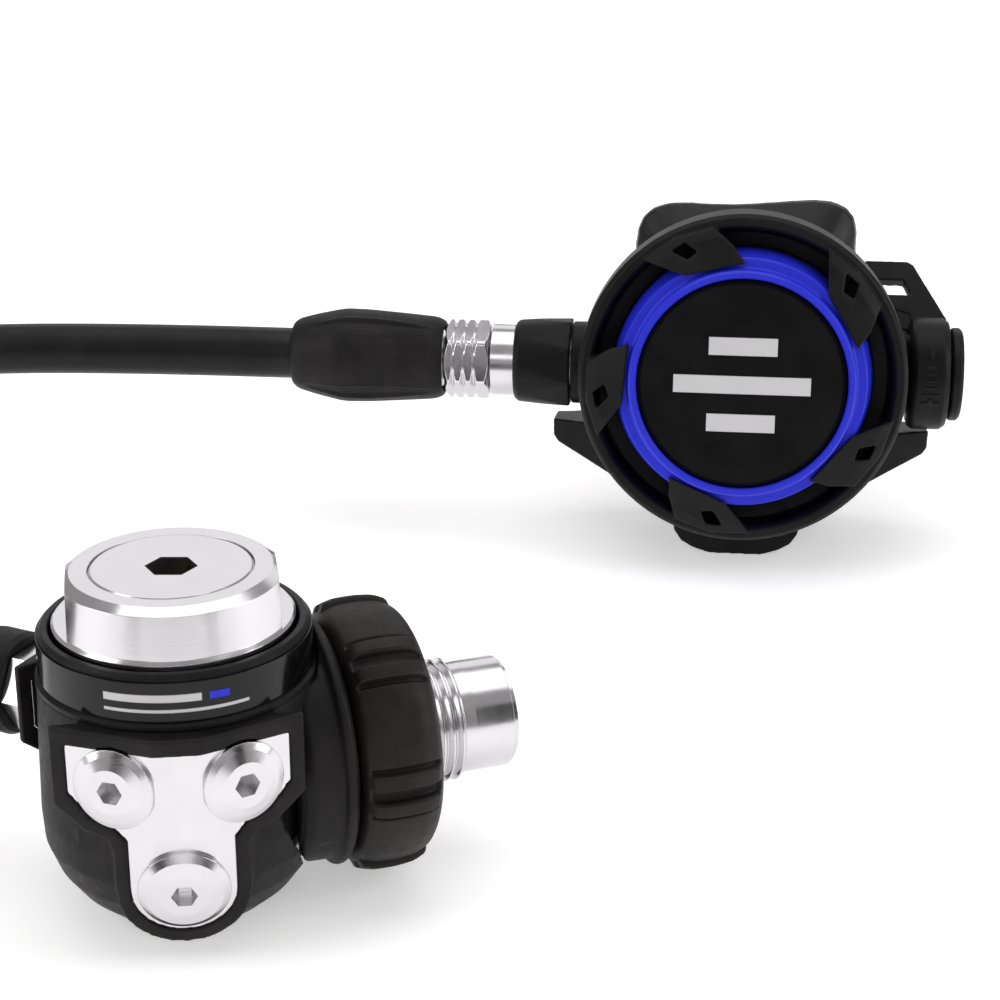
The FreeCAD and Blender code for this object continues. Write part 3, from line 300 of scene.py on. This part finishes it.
# Name, colour, roughness, size and depth of the grain in metres, and what differs from the rest.
MOULDED = [
    ("bronze", (0.45, 0.33, 0.18), 0.5, 0.00025, 0.00006, dict(mottling=0.5)),
    ("rubber", (0.0062, 0.0055, 0.0054), 0.5, 0.00028, 0.00003,
     dict(specular=0.18, mottling=1.1)),
    ("wheel_rubber", (0.0072, 0.0061, 0.0057), 0.5, 0.0003, 0.00004,
     dict(specular=0.22, mottling=1.4)),
    ("hose_rubber", (0.0046, 0.0046, 0.0050), 0.40, 0.0004, 0.000007, dict(specular=0.2)),
    ("plastic", (0.0042, 0.0040, 0.0041), 0.42, 0.00018, 0.000012,
     dict(specular=0.15, mottling=0.6)),
    ("disc", (0.0036, 0.0036, 0.0038), 0.5, 0.00012, 0.000003,
     dict(specular=0.08, worn_by=0.0)),
    ("silicone", (0.0075, 0.0064, 0.0064), 0.36, 0.0006, 0.000008,
     dict(specular=0.25, mottling=0.6)),
    ("blue", (0.016, 0.024, 0.60), 0.36, 0.00018, 0.000003,
     dict(specular=0.3, mottling=0.02, worn_by=0.0)),
    ("gloss", (0.0026, 0.0026, 0.0030), 0.12, 0.0008, 0.000001,
     dict(specular=0.3, mottling=0.1, worn_by=0.0)),
    ("print", (0.60, 0.595, 0.605), 0.42, 0.00014, 0.000004, dict(mottling=0.03, worn_by=0.0)),
    ("seal", (0.008, 0.008, 0.008), 0.35, 0.0005, 0.000002, dict()),
    ("white", (0.70, 0.68, 0.64), 0.45, 0.0004, 0.000003, dict(mottling=0.03)),
]


def make_materials():
    made = {row[0]: turned_metal(*row) for row in METALS}
    for *row, rest in MOULDED:
        made[row[0]] = moulded(*row, **rest)
    return made


NODE_FINISH = {
    "cap_metal": ["end_cap", "cap_plug"],
    "body_metal": ["first_stage_body", "low_pressure_port_plugs", "high_pressure_port_plugs"],
    "din_metal": ["threaded_bushing", "inlet_stem"],
    "valve_metal": ["inlet_fitting", "hose_end_fitting", "balance_chamber", "valve_barrel"],
    "port_metal": ["hose_port_fitting"],
    "brass": ["adjusting_screw", "spring_pad", "inlet_orifice"],
    "steel": ["main_spring", "thrust_pin", "high_pressure_valve", "high_pressure_spring",
              "filter_clip", "diaphragm_plate", "demand_lever", "second_stage_valve_spring",
              "purge_spring"],
    "bronze": ["inlet_filter"],
    "rubber": ["rubber_jacket", "shoulder_cover", "hose_port_sleeve"],
    "hose_rubber": ["low_pressure_hose"],
    "plastic": ["collar", "case", "cover_ring", "exhaust_tee", "inlet_collar", "flow_lever",
                "barrel_end_cap", "mouthpiece_tie", "flow_vane"],
    "gloss": ["label_band"],
    "blue": ["accent_ring"],
    "disc": ["purge_button"],
    "print": ["emblem"],
    "silicone": ["second_stage_diaphragm", "exhaust_valve"],
    "seal": ["inlet_o_ring", "hose_o_ring", "first_stage_diaphragm", "valve_seat_disc"],
    "white": ["valve_seat", "second_stage_valve"],
}


def finish_nodes(materials):
    for finish, nodes in NODE_FINISH.items():
        for node in nodes:
            piece = frame["nodes"][node]
            if not piece.material_slots:
                piece.data.materials.append(materials[finish])
            for place in piece.material_slots:
                place.material = materials[finish]


# ---------------------------------------------------------------- rounded moulded nodes
# Node, voxel size in metres and rounds of smoothing.
SOFTENED = [
    ("rubber_jacket", 0.00034, 4), ("shoulder_cover", 0.00034, 7),
    ("cover_ring", 0.00028, 3), ("case", 0.00042, 5),
    ("exhaust_tee", 0.00036, 5), ("inlet_collar", 0.00028, 6), ("flow_lever", 0.00028, 4),
    ("barrel_end_cap", 0.00028, 3), ("mouthpiece_tie", 0.0003, 3),
]
SOFTENED_KEPT = 0.45                # share of the faces kept after rounding


def add_remesh(piece, voxel):
    remesh = piece.modifiers.new("remesh", "REMESH")
    remesh.mode = "VOXEL"
    remesh.voxel_size = voxel
    remesh.use_smooth_shade = True


def add_smooth(piece, name, rounds):
    smooth = piece.modifiers.new(name, "SMOOTH")
    smooth.factor = 0.5
    smooth.iterations = rounds
    return smooth


def soften(piece, voxel, rounds):
    """Rounds a moulded part's edges off with modifiers; its own mesh stays as it is."""
    add_remesh(piece, voxel)
    add_smooth(piece, "smooth", rounds)
    thin = piece.modifiers.new("thin", "DECIMATE")
    thin.ratio = SOFTENED_KEPT


# ---------------------------------------------------------------- pieces built here
def add_piece(name, mesh, material, like, replaced=()):
    """Links a piece that moves with the CAD node it is like."""
    piece = bpy.data.objects.new(name, mesh)
    bpy.context.collection.objects.link(piece)
    mesh.materials.clear()
    mesh.materials.append(material)
    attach(piece, BODY_OF[like])
    if replaced:
        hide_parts(*replaced)
    return piece


def solid_mesh(name, points, faces, smooth):
    """A mesh whose faces all look outwards."""
    mesh = bpy.data.meshes.new(name)
    mesh.from_pydata(points, [], faces)
    edited = bmesh.new()
    edited.from_mesh(mesh)
    bmesh.ops.recalc_face_normals(edited, faces=edited.faces)
    for face in edited.faces:
        face.smooth = smooth
    edited.to_mesh(mesh)
    edited.free()
    return mesh


def woven(name, rows, place):
    """A smooth closed mesh from rows of points; every row is a loop, and so are the rows."""
    wide = len(rows[0])
    points = [place @ Vector(point) for row in rows for point in row]
    faces = []
    for low in range(len(rows)):
        high = (low + 1) % len(rows)
        for left in range(wide):
            right = (left + 1) % wide
            faces.append((low * wide + left, low * wide + right,
                          high * wide + right, high * wide + left))
    return solid_mesh(name, points, faces, True)


SIDE_SHARE = 0.45                   # a round takes no more than this share of a side


def rounded(corners, radius, steps, spacing):
    """A closed outline with its corners cut round and its long sides divided."""
    outline = []
    count = len(corners)
    for index in range(count):
        before, corner, after = (Vector(corners[(index + k) % count]) for k in (-1, 0, 1))
        into = corner - before
        out = after - corner
        reach_in = min(radius, SIDE_SHARE * into.length)
        reach_out = min(radius, SIDE_SHARE * out.length)
        start = corner - into.normalized() * reach_in
        end = corner + out.normalized() * reach_out
        for step in range(steps + 1):
            t = step / steps
            outline.append(start * (1 - t) ** 2 + corner * 2 * t * (1 - t) + end * t ** 2)
        run_end = after - out.normalized() * reach_out
        length = (run_end - end).length
        pieces = max(1, int(length / spacing))
        for step in range(1, pieces):
            outline.append(end.lerp(run_end, step / pieces))
    return [tuple(point) for point in outline]


def revolved(name, outline, place, count, shape):
    """Turns a (radius, height) outline about Z; shape(angle, radius, height) gives the radius."""
    rows = []
    for radius, height in outline:
        row = []
        for index in range(count):
            angle = 2 * math.pi * index / count
            out = shape(angle, radius, height)
            row.append((out * math.cos(angle), out * math.sin(angle), height))
        rows.append(row)
    return woven(name, rows, place)


def step_up(value, edge, soft):
    """0 below the edge and 1 above it, with a smooth slope."""
    t = min(1.0, max(0.0, (value - edge) / soft + 0.5))
    return t * t * (3 - 2 * t)


def turn_between(angle, middle):
    """The angle from the middle, in degrees from -180 to 180."""
    return (math.degrees(angle) - middle + 180.0) % 360.0 - 180.0


# ---- the handwheel, along the inlet's axis
WHEEL_BACK = 27.4
WHEEL_FACE = 42.6
WHEEL_SKIN = 21.0                   # the ribs start outside this radius
WHEEL_REACH = 25.1                  # and no rib stands out further than this one
WHEEL_OUTLINE = [                   # radius and height
    (10.1, WHEEL_BACK + 0.1), (20.8, WHEEL_BACK + 0.1), (23.0, WHEEL_BACK + 0.8),
    (24.0, WHEEL_BACK + 3.6), (24.15, WHEEL_BACK + 7.6), (23.8, WHEEL_FACE - 4.0),
    (22.6, WHEEL_FACE - 1.3), (20.6, WHEEL_FACE), (17.2, WHEEL_FACE), (16.7, WHEEL_FACE - 0.5),
    (15.0, WHEEL_FACE - 0.5), (14.5, WHEEL_FACE), (13.2, WHEEL_FACE),
    (12.6, WHEEL_FACE - 1.6), (10.1, WHEEL_FACE - 1.6)]
WHEEL_COLUMNS = 720
PAIR_TURN = 60.0                    # degrees from pair to pair
PAIR_START = 32.0
RIB_APART = 6.3                     # degrees from a pair's middle to each of its ribs
RIB_RADIUS = 23.9                   # radius at which the ribs' widths are measured
RIB_HALF = 1.35
RIB_SLOPE = 0.36
RIB_HEIGHT = 1.0
RIB_START = WHEEL_BACK + 1.3        # heights between which the ribs run
RIB_END = WHEEL_FACE - 1.5
RIB_END_SLOPE = 0.5
GROOVE_REACH = 2.4                  # from a rib's middle to its groove's far side
GROOVE_DEPTH = 0.95


def wheel_skin(angle, radius, height):
    """Six pairs of raised ribs, each rib with a groove along both sides."""
    if radius < WHEEL_SKIN:
        return radius
    off = turn_between(angle, PAIR_START)
    off = (off + PAIR_TURN / 2) % PAIR_TURN - PAIR_TURN / 2
    along = abs(off) * math.pi / 180 * RIB_RADIUS
    middle = RIB_APART * math.pi / 180 * RIB_RADIUS
    rib = 1 - step_up(abs(along - middle), RIB_HALF, RIB_SLOPE)
    groove = (1 - step_up(along, middle + GROOVE_REACH, RIB_SLOPE)) * (1 - rib)
    started = step_up(height, RIB_START, RIB_END_SLOPE)
    inside = started * (1 - step_up(height, RIB_END, RIB_END_SLOPE))
    raised = rib * inside * RIB_HEIGHT - groove * inside * GROOVE_DEPTH
    outer = step_up(radius, WHEEL_SKIN + 0.6, 1.0)
    return min(radius + raised * outer, WHEEL_REACH)


def make_handwheel(materials):
    outline = rounded(WHEEL_OUTLINE, radius=0.9, steps=3, spacing=0.6)
    mesh = revolved("handwheel_grip", outline, DIN, WHEEL_COLUMNS, wheel_skin)
    add_piece("handwheel_grip", mesh, materials["wheel_rubber"], "handwheel",
              ["handwheel"])


# ---- the hose protector, along the valve's axis
HOSE_END = -112.5                   # where the hose comes out of the protector
GRIP_SKIN = 8.6                     # the flutes are outside this radius
GRIP_OUTLINE = [                    # radius and height
    (6.42, HOSE_END), (7.7, HOSE_END), (8.9, HOSE_END + 1.4), (10.3, HOSE_END + 6.5),
    (11.7, HOSE_END + 13.0), (11.6, HOSE_END + 19.0), (10.9, HOSE_END + 29.0),
    (10.3, HOSE_END + 36.4), (9.3, HOSE_END + 38.5), (8.35, HOSE_END + 38.5),
    (8.35, HOSE_END + 7.2), (6.42, HOSE_END + 7.2)]
GRIP_COLUMNS = 480
FLUTES = [-137.0, -43.0, 43.0, 137.0]
FLUTE_START = 4.5
FLUTE_LENGTH = 31.0
FLUTE_DEPTH = 0.85
FLUTE_FULLNESS = 0.7                # the lower, the blunter a flute's ends
FLUTE_HALF = 4.0                    # degrees at a flute's ends
FLUTE_BELLY = 9.0                   # and what its middle adds
LIP_WIDTH = 2.4                     # degrees
LIP_HEIGHT = 0.16


def protector_skin(angle, radius, height):
    """Four lens-shaped flutes between flattened panels."""
    if radius < GRIP_SKIN:
        return radius
    place = (height - HOSE_END - FLUTE_START) / FLUTE_LENGTH
    if place <= 0 or place >= 1:
        return radius
    lens = math.sin(math.pi * place) ** FLUTE_FULLNESS
    nearest = min(abs(turn_between(angle, flute)) for flute in FLUTES)
    half = FLUTE_HALF + FLUTE_BELLY * lens
    dip = 0.0
    if nearest < half:
        dip = (1 - step_up(nearest, half * 0.75, half * 0.5)) * lens
    lip = math.exp(-((nearest - half) / LIP_WIDTH) ** 2) * lens
    return radius - FLUTE_DEPTH * dip + LIP_HEIGHT * lip


def make_protector(materials):
    outline = rounded(GRIP_OUTLINE, radius=1.6, steps=4, spacing=0.4)
    mesh = revolved("hose_grip", outline, VALVE, GRIP_COLUMNS, protector_skin)
    return add_piece("hose_grip", mesh, materials["rubber"], "hose_protector",
                     ["hose_protector"])


# ---- the swivel nut, along the valve's axis
NUT_START = HOSE_END + 39.05
NUT_SKIN = 8.0                      # the hexagon is outside this radius
NUT_OUTLINE = [                     # radius and height
    (7.15, NUT_START + 3.2), (5.7, NUT_START + 3.2), (5.7, NUT_START), (8.5, NUT_START),
    (9.9, NUT_START + 1.0), (10.1, NUT_START + 1.4), (10.1, NUT_START + 9.9),
    (9.8, NUT_START + 10.2), (8.5, NUT_START + 11.1), (7.15, NUT_START + 11.1)]
NUT_FLAT = 8.73                     # from the axis to a flat
NUT_CREST = 9.85                    # from the axis to a turned corner
NUT_GROOVES = [NUT_START + 2.2, NUT_START + 4.8, NUT_START + 7.4]
NUT_GROOVE_DEPTH = 1.15
NUT_GROOVE_WIDTH = 0.42
NUT_BLEND = 0.12
NUT_COLUMNS = 360


def nut_skin(angle, radius, height):
    """A hexagon whose corners are turned down and cut into rounded ridges."""
    if radius < NUT_SKIN:
        return radius
    off = (math.degrees(angle) + 30.0) % 60.0 - 30.0
    flat = NUT_FLAT / math.cos(math.radians(30.0 - abs(off)))
    groove = min(abs(height - middle) for middle in NUT_GROOVES)
    crest = NUT_CREST - NUT_GROOVE_DEPTH * math.exp(-(groove / NUT_GROOVE_WIDTH) ** 2)
    blend = max(0.0, NUT_BLEND - abs(flat - crest)) / NUT_BLEND
    kept = min(flat, crest) - blend * blend * NUT_BLEND * 0.25
    return min(kept, radius)


def make_nut(materials):
    outline = rounded(NUT_OUTLINE, radius=0.3, steps=3, spacing=0.22)
    mesh = revolved("hose_nut", outline, VALVE, NUT_COLUMNS, nut_skin)
    add_piece("hose_nut", mesh, materials["valve_metal"], "swivel_nut",
              ["swivel_nut"])


# ---- the soft mouthpiece, behind the cover
MOUTH_NECK = 55.0                   # depths behind the cover's face
MOUTH_LIP = 68.0
MOUTH_TIP = 70.4
FLANGE_WIDE = 28.5                  # half the flange's width and height
FLANGE_TALL = 18.0
FLANGE_RISE = (9.0, 10.4)           # height of its middle at the case, and what it gains behind
FLANGE_RISE_AT = (60.0, 16.0)       # depth of half that gain, and the depth that it takes
CORNER_GROWTH = 0.085
EDGE_GROWTH = -0.03
TALLER_GROWTH = 1.5                 # how much more the height grows than the width
MOUTH_VOXEL = 0.00045               # in metres
MOUTH_ROUNDS = 4
TAB_ROUNDS = 16


def mouth_warp(point):
    """Draws the flange's four corners out and its long edges in, more towards the lips."""
    x, y, z = point
    depth = -z
    flare = step_up(depth, (MOUTH_LIP + MOUTH_NECK) / 2, MOUTH_LIP - MOUTH_NECK)
    middle = FLANGE_RISE[0] + FLANGE_RISE[1] * step_up(depth, *FLANGE_RISE_AT)
    wide = x / FLANGE_WIDE
    tall = (y - middle) / FLANGE_TALL
    angle = math.atan2(tall, wide)
    corner = abs(math.sin(2 * angle)) ** 5
    edge = abs(math.sin(angle)) ** 10
    outer = step_up(math.hypot(wide, tall), 0.8, 0.4)
    grow = flare * outer * (CORNER_GROWTH * corner + EDGE_GROWTH * edge)
    return Vector((x * (1 + grow), middle + (y - middle) * (1 + TALLER_GROWTH * grow), z))


def make_mouthpiece(materials):
    """The moulded mouthpiece with its bite tabs blended in and its lips rounded."""
    draft = bpy.data.objects.new("mouth_draft", frame["nodes"]["mouthpiece"].data.copy())
    bpy.context.collection.objects.link(draft)
    add_remesh(draft, MOUTH_VOXEL)
    mesh = bpy.data.meshes.new_from_object(
        draft.evaluated_get(bpy.context.evaluated_depsgraph_get()))
    bpy.data.objects.remove(draft)
    to_face = FACE.inverted()
    for vertex in mesh.vertices:
        vertex.co = FACE @ mouth_warp(to_face @ vertex.co)
    piece = add_piece("soft_mouthpiece", mesh, materials["silicone"], "mouthpiece",
                      ["mouthpiece"])
    add_smooth(piece, "smooth", MOUTH_ROUNDS)
    tabs = piece.vertex_groups.new(name="bite_tabs")
    tabs.add([vertex.index for vertex in mesh.vertices
              if -(to_face @ vertex.co).z > MOUTH_TIP], 1.0, "REPLACE")
    add_smooth(piece, "soft_tabs", TAB_ROUNDS).vertex_group = "bite_tabs"


# ---- the web between the knob and its tab
TAB_BACK = math.radians(35.0)
WEB_OUTLINE = [                     # along the valve's axis and out from it
    (34.3, 18.2), (41.8, 15.8), (41.8, 11.1), (36.2, 11.1), (34.3, 13.6)]
WEB_HALF = 1.5
WEB_BEVEL = 0.0004                  # in metres


def make_web(materials):
    """A flat gusset on the knob, in the plane of its thumb tab."""
    along = Vector((0, 0, 1))
    outwards = Vector((-math.cos(TAB_BACK), math.sin(TAB_BACK), 0))
    side = along.cross(outwards)
    count = len(WEB_OUTLINE)
    points = [VALVE @ (along * a + outwards * b + side * c)
              for c in (-WEB_HALF, WEB_HALF) for a, b in WEB_OUTLINE]
    faces = [list(reversed(range(count))), [count + k for k in range(count)]]
    for k in range(count):
        ahead = (k + 1) % count
        faces.append([k, ahead, count + ahead, count + k])
    mesh = bpy.data.meshes.new("lever_web")
    mesh.from_pydata(points, [], faces)
    piece = add_piece("lever_web", mesh, materials["plastic"], "flow_lever")
    bevel = piece.modifiers.new("bevel", "BEVEL")
    bevel.width = WEB_BEVEL
    bevel.segments = 3


# ---- printed and raised marks: start and end in degrees, bottom and top
BAND_RADIUS = 24.04
PRINT_HEIGHT = 0.09
BAND_STRIPES = [(-112.0, -72.0, 49.5, 50.9), (-112.0, -52.0, 47.6, 48.2)]
BAND_ACCENT = [(-69.0, -60.5, 49.5, 50.9)]
KNOB_RADIUS = 13.62
MARK_HEIGHT = 0.38
KNOB_MINUS = [(-122.0, -112.0, 44.9, 45.9)]
KNOB_PLUS = [(-70.0, -60.0, 44.9, 45.9), (-66.9, -63.1, 43.3, 44.9), (-66.9, -63.1, 45.9, 47.5)]
KNOB_TICKS = [(-104.0 + 7.0 * k, -102.0 + 7.0 * k, 44.3 - 0.25 * k, 46.5 + 0.25 * k)
              for k in range(5)]
PLATE_STEP = 1.5                    # degrees


def ring_plate(name, spans, place, low, high):
    """Plates on a cylinder, from the low to the high radius, as one mesh of narrow quads."""
    points = []
    faces = []
    for start, end, bottom, top in spans:
        count = max(2, round(abs(end - start) / PLATE_STEP))
        first = len(points)
        for k in range(count + 1):
            turn = math.radians(start + (end - start) * k / count)
            for radius, height in ((low, bottom), (high, bottom), (high, top), (low, top)):
                points.append(place @ Vector((radius * math.cos(turn), radius * math.sin(turn),
                                              height)))
        for k in range(count):
            here = first + 4 * k
            for side in range(4):
                ahead = (side + 1) % 4
                faces.append((here + side, here + ahead, here + 4 + ahead, here + 4 + side))
        faces.append((first + 3, first + 2, first + 1, first))
        last = first + 4 * count
        faces.append((last, last + 1, last + 2, last + 3))
    return solid_mesh(name, points, faces, False)


def make_marks(materials):
    stripes = ring_plate("band_stripes", BAND_STRIPES, BODY, BAND_RADIUS,
                         BAND_RADIUS + PRINT_HEIGHT)
    add_piece("band_stripes", stripes, materials["print"], "label_band")
    accent = ring_plate("band_accent", BAND_ACCENT, BODY, BAND_RADIUS,
                        BAND_RADIUS + PRINT_HEIGHT)
    add_piece("band_accent", accent, materials["blue"], "label_band")
    marks = ring_plate("knob_marks", KNOB_MINUS + KNOB_PLUS + KNOB_TICKS, VALVE, KNOB_RADIUS,
                       KNOB_RADIUS + MARK_HEIGHT)
    add_piece("knob_marks", marks, materials["plastic"], "flow_lever")


# ---------------------------------------------------------------- the hose, in metres
HOSE_DIAMETER = 0.0127
HOSE_ROUTE = [
    (0.00498, 0.18832, 0.04251), (-0.04375, 0.19344, 0.04251), (-0.093, 0.1965, 0.0405),
    (-0.142, 0.196, 0.032), (-0.190, 0.190, 0.0205), (-0.232, 0.170, 0.011),
    (-0.260, 0.133, 0.007), (-0.267, 0.087, 0.0068), (-0.249, 0.045, 0.007),
    (-0.211, 0.020, 0.010), (-0.164, 0.022, 0.019), (-0.120, 0.036, 0.028),
    (-0.08089, 0.03945, 0.0342), (-0.04494, 0.02192, 0.0342),
]


def make_hose(materials, grip):
    data = bpy.data.curves.new("hose", "CURVE")
    data.dimensions = "3D"
    data.bevel_depth = HOSE_DIAMETER / 2
    data.bevel_resolution = 10
    data.use_fill_caps = True
    spline = data.splines.new("NURBS")
    spline.points.add(len(HOSE_ROUTE) - 1)
    for point, place in zip(spline.points, HOSE_ROUTE):
        point.co = (*place, 1)
    spline.order_u = 3
    spline.use_endpoint_u = True
    spline.resolution_u = 16
    hose = bpy.data.objects.new("hose", data)
    bpy.context.collection.objects.link(hose)
    data.materials.append(materials["hose_rubber"])
    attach(hose, "root")
    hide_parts("low_pressure_hose")


# ---------------------------------------------------------------- studio, in metres
STUDIO_MIDDLE = (0.05, 0.1, 0.03)
LIGHTS = [                          # name, place, size and power
    ("overhead", (0.05, 0.25, 1.1), (1.3, 1.0), 5.5),
    ("left_window", (-0.9, -0.25, 0.55), (0.45, 0.9), 4.0),
    ("right_window", (1.0, -0.1, 0.5), (0.4, 0.8), 3.4),
    ("front_fill", (0.1, -1.2, 0.75), (1.0, 0.35), 1.6),
    ("back_glow", (0.05, 1.7, 0.85), (2.2, 0.9), 4.5),
]
FLAGS = [                           # name, place and size
    ("left_flag", (-0.45, -0.75, 0.25), (0.22, 0.7)),
    ("right_flag", (0.62, -0.62, 0.25), (0.2, 0.7)),
]
FLAG_TONE = 0.02
WORLD_COLOR = (1.0, 0.985, 0.985, 1)
WORLD_STRENGTH = 0.34
WORLD_SEEN_GAIN = 0.38              # what the camera sees of the world beyond that
FLOOR_HALF = 4.0
FLOOR_GRAIN = 0.4
FLOOR_TONES = ((0.90, 0.895, 0.895), (0.93, 0.925, 0.925))
FLOOR_GLOW = (1.0, 0.99, 0.99, 1)
FLOOR_GLOW_STRENGTH = 0.40


def facing_middle(name, data, place):
    """An object whose -Z points at the middle of the studio."""
    thing = bpy.data.objects.new(name, data)
    thing.location = place
    towards = Vector(STUDIO_MIDDLE) - Vector(place)
    thing.rotation_euler = towards.to_track_quat("-Z", "Y").to_euler()
    bpy.context.collection.objects.link(thing)
    return thing


def flat_mesh(name, wide, tall):
    mesh = bpy.data.meshes.new(name)
    mesh.from_pydata([(-wide / 2, -tall / 2, 0), (wide / 2, -tall / 2, 0),
                      (wide / 2, tall / 2, 0), (-wide / 2, tall / 2, 0)], [], [(0, 1, 2, 3)])
    return mesh


def add_light(name, place, size, power):
    data = bpy.data.lights.new(name, "AREA")
    data.shape = "RECTANGLE"
    data.size, data.size_y = size
    data.energy = power
    facing_middle(name, data, place)


def add_flag(name, place, size):
    """A plain dark board for the metal to mirror; the camera itself doesn't see it."""
    mesh = flat_mesh(name, *size)
    board = facing_middle(name, mesh, place)
    paint = Recipe(name, (FLAG_TONE,) * 3, 0.9, specular=0.05)
    mesh.materials.append(paint.material)
    board.visible_camera = False


def set_world():
    """An even pale world, which the camera sees lighter than it shines."""
    world = bpy.data.worlds.new("studio")
    world.use_nodes = True
    nodes = world.node_tree.nodes
    background = nodes["Background"]
    background.inputs["Color"].default_value = WORLD_COLOR
    ray = nodes.new("ShaderNodeLightPath")
    strength = nodes.new("ShaderNodeMath")
    strength.operation = "MULTIPLY_ADD"
    strength.inputs[1].default_value = WORLD_SEEN_GAIN
    strength.inputs[2].default_value = WORLD_STRENGTH
    world.node_tree.links.new(ray.outputs["Is Camera Ray"], strength.inputs[0])
    world.node_tree.links.new(strength.outputs[0], background.inputs["Strength"])
    bpy.context.scene.world = world


def make_floor():
    mesh = flat_mesh("floor", 2 * FLOOR_HALF, 2 * FLOOR_HALF)
    floor = bpy.data.objects.new("floor", mesh)
    bpy.context.collection.objects.link(floor)
    paper = Recipe("paper", FLOOR_TONES[0], 0.8, specular=0.1)
    paper.color(paper.mix(paper.noise(FLOOR_GRAIN), *FLOOR_TONES))
    paper.shader.inputs["Emission Color"].default_value = FLOOR_GLOW
    paper.shader.inputs["Emission Strength"].default_value = FLOOR_GLOW_STRENGTH
    mesh.materials.append(paper.material)


def set_studio():
    for light in LIGHTS:
        add_light(*light)
    for flag in FLAGS:
        add_flag(*flag)
    set_world()
    bpy.context.scene.view_settings.view_transform = "Standard"
    make_floor()


set_camera()
materials = make_materials()
make_hose(materials, make_protector(materials))
finish_nodes(materials)
for node, voxel, rounds in SOFTENED:
    soften(frame["nodes"][node], voxel, rounds)
make_handwheel(materials)
make_nut(materials)
make_mouthpiece(materials)
make_web(materials)
make_marks(materials)
set_studio()
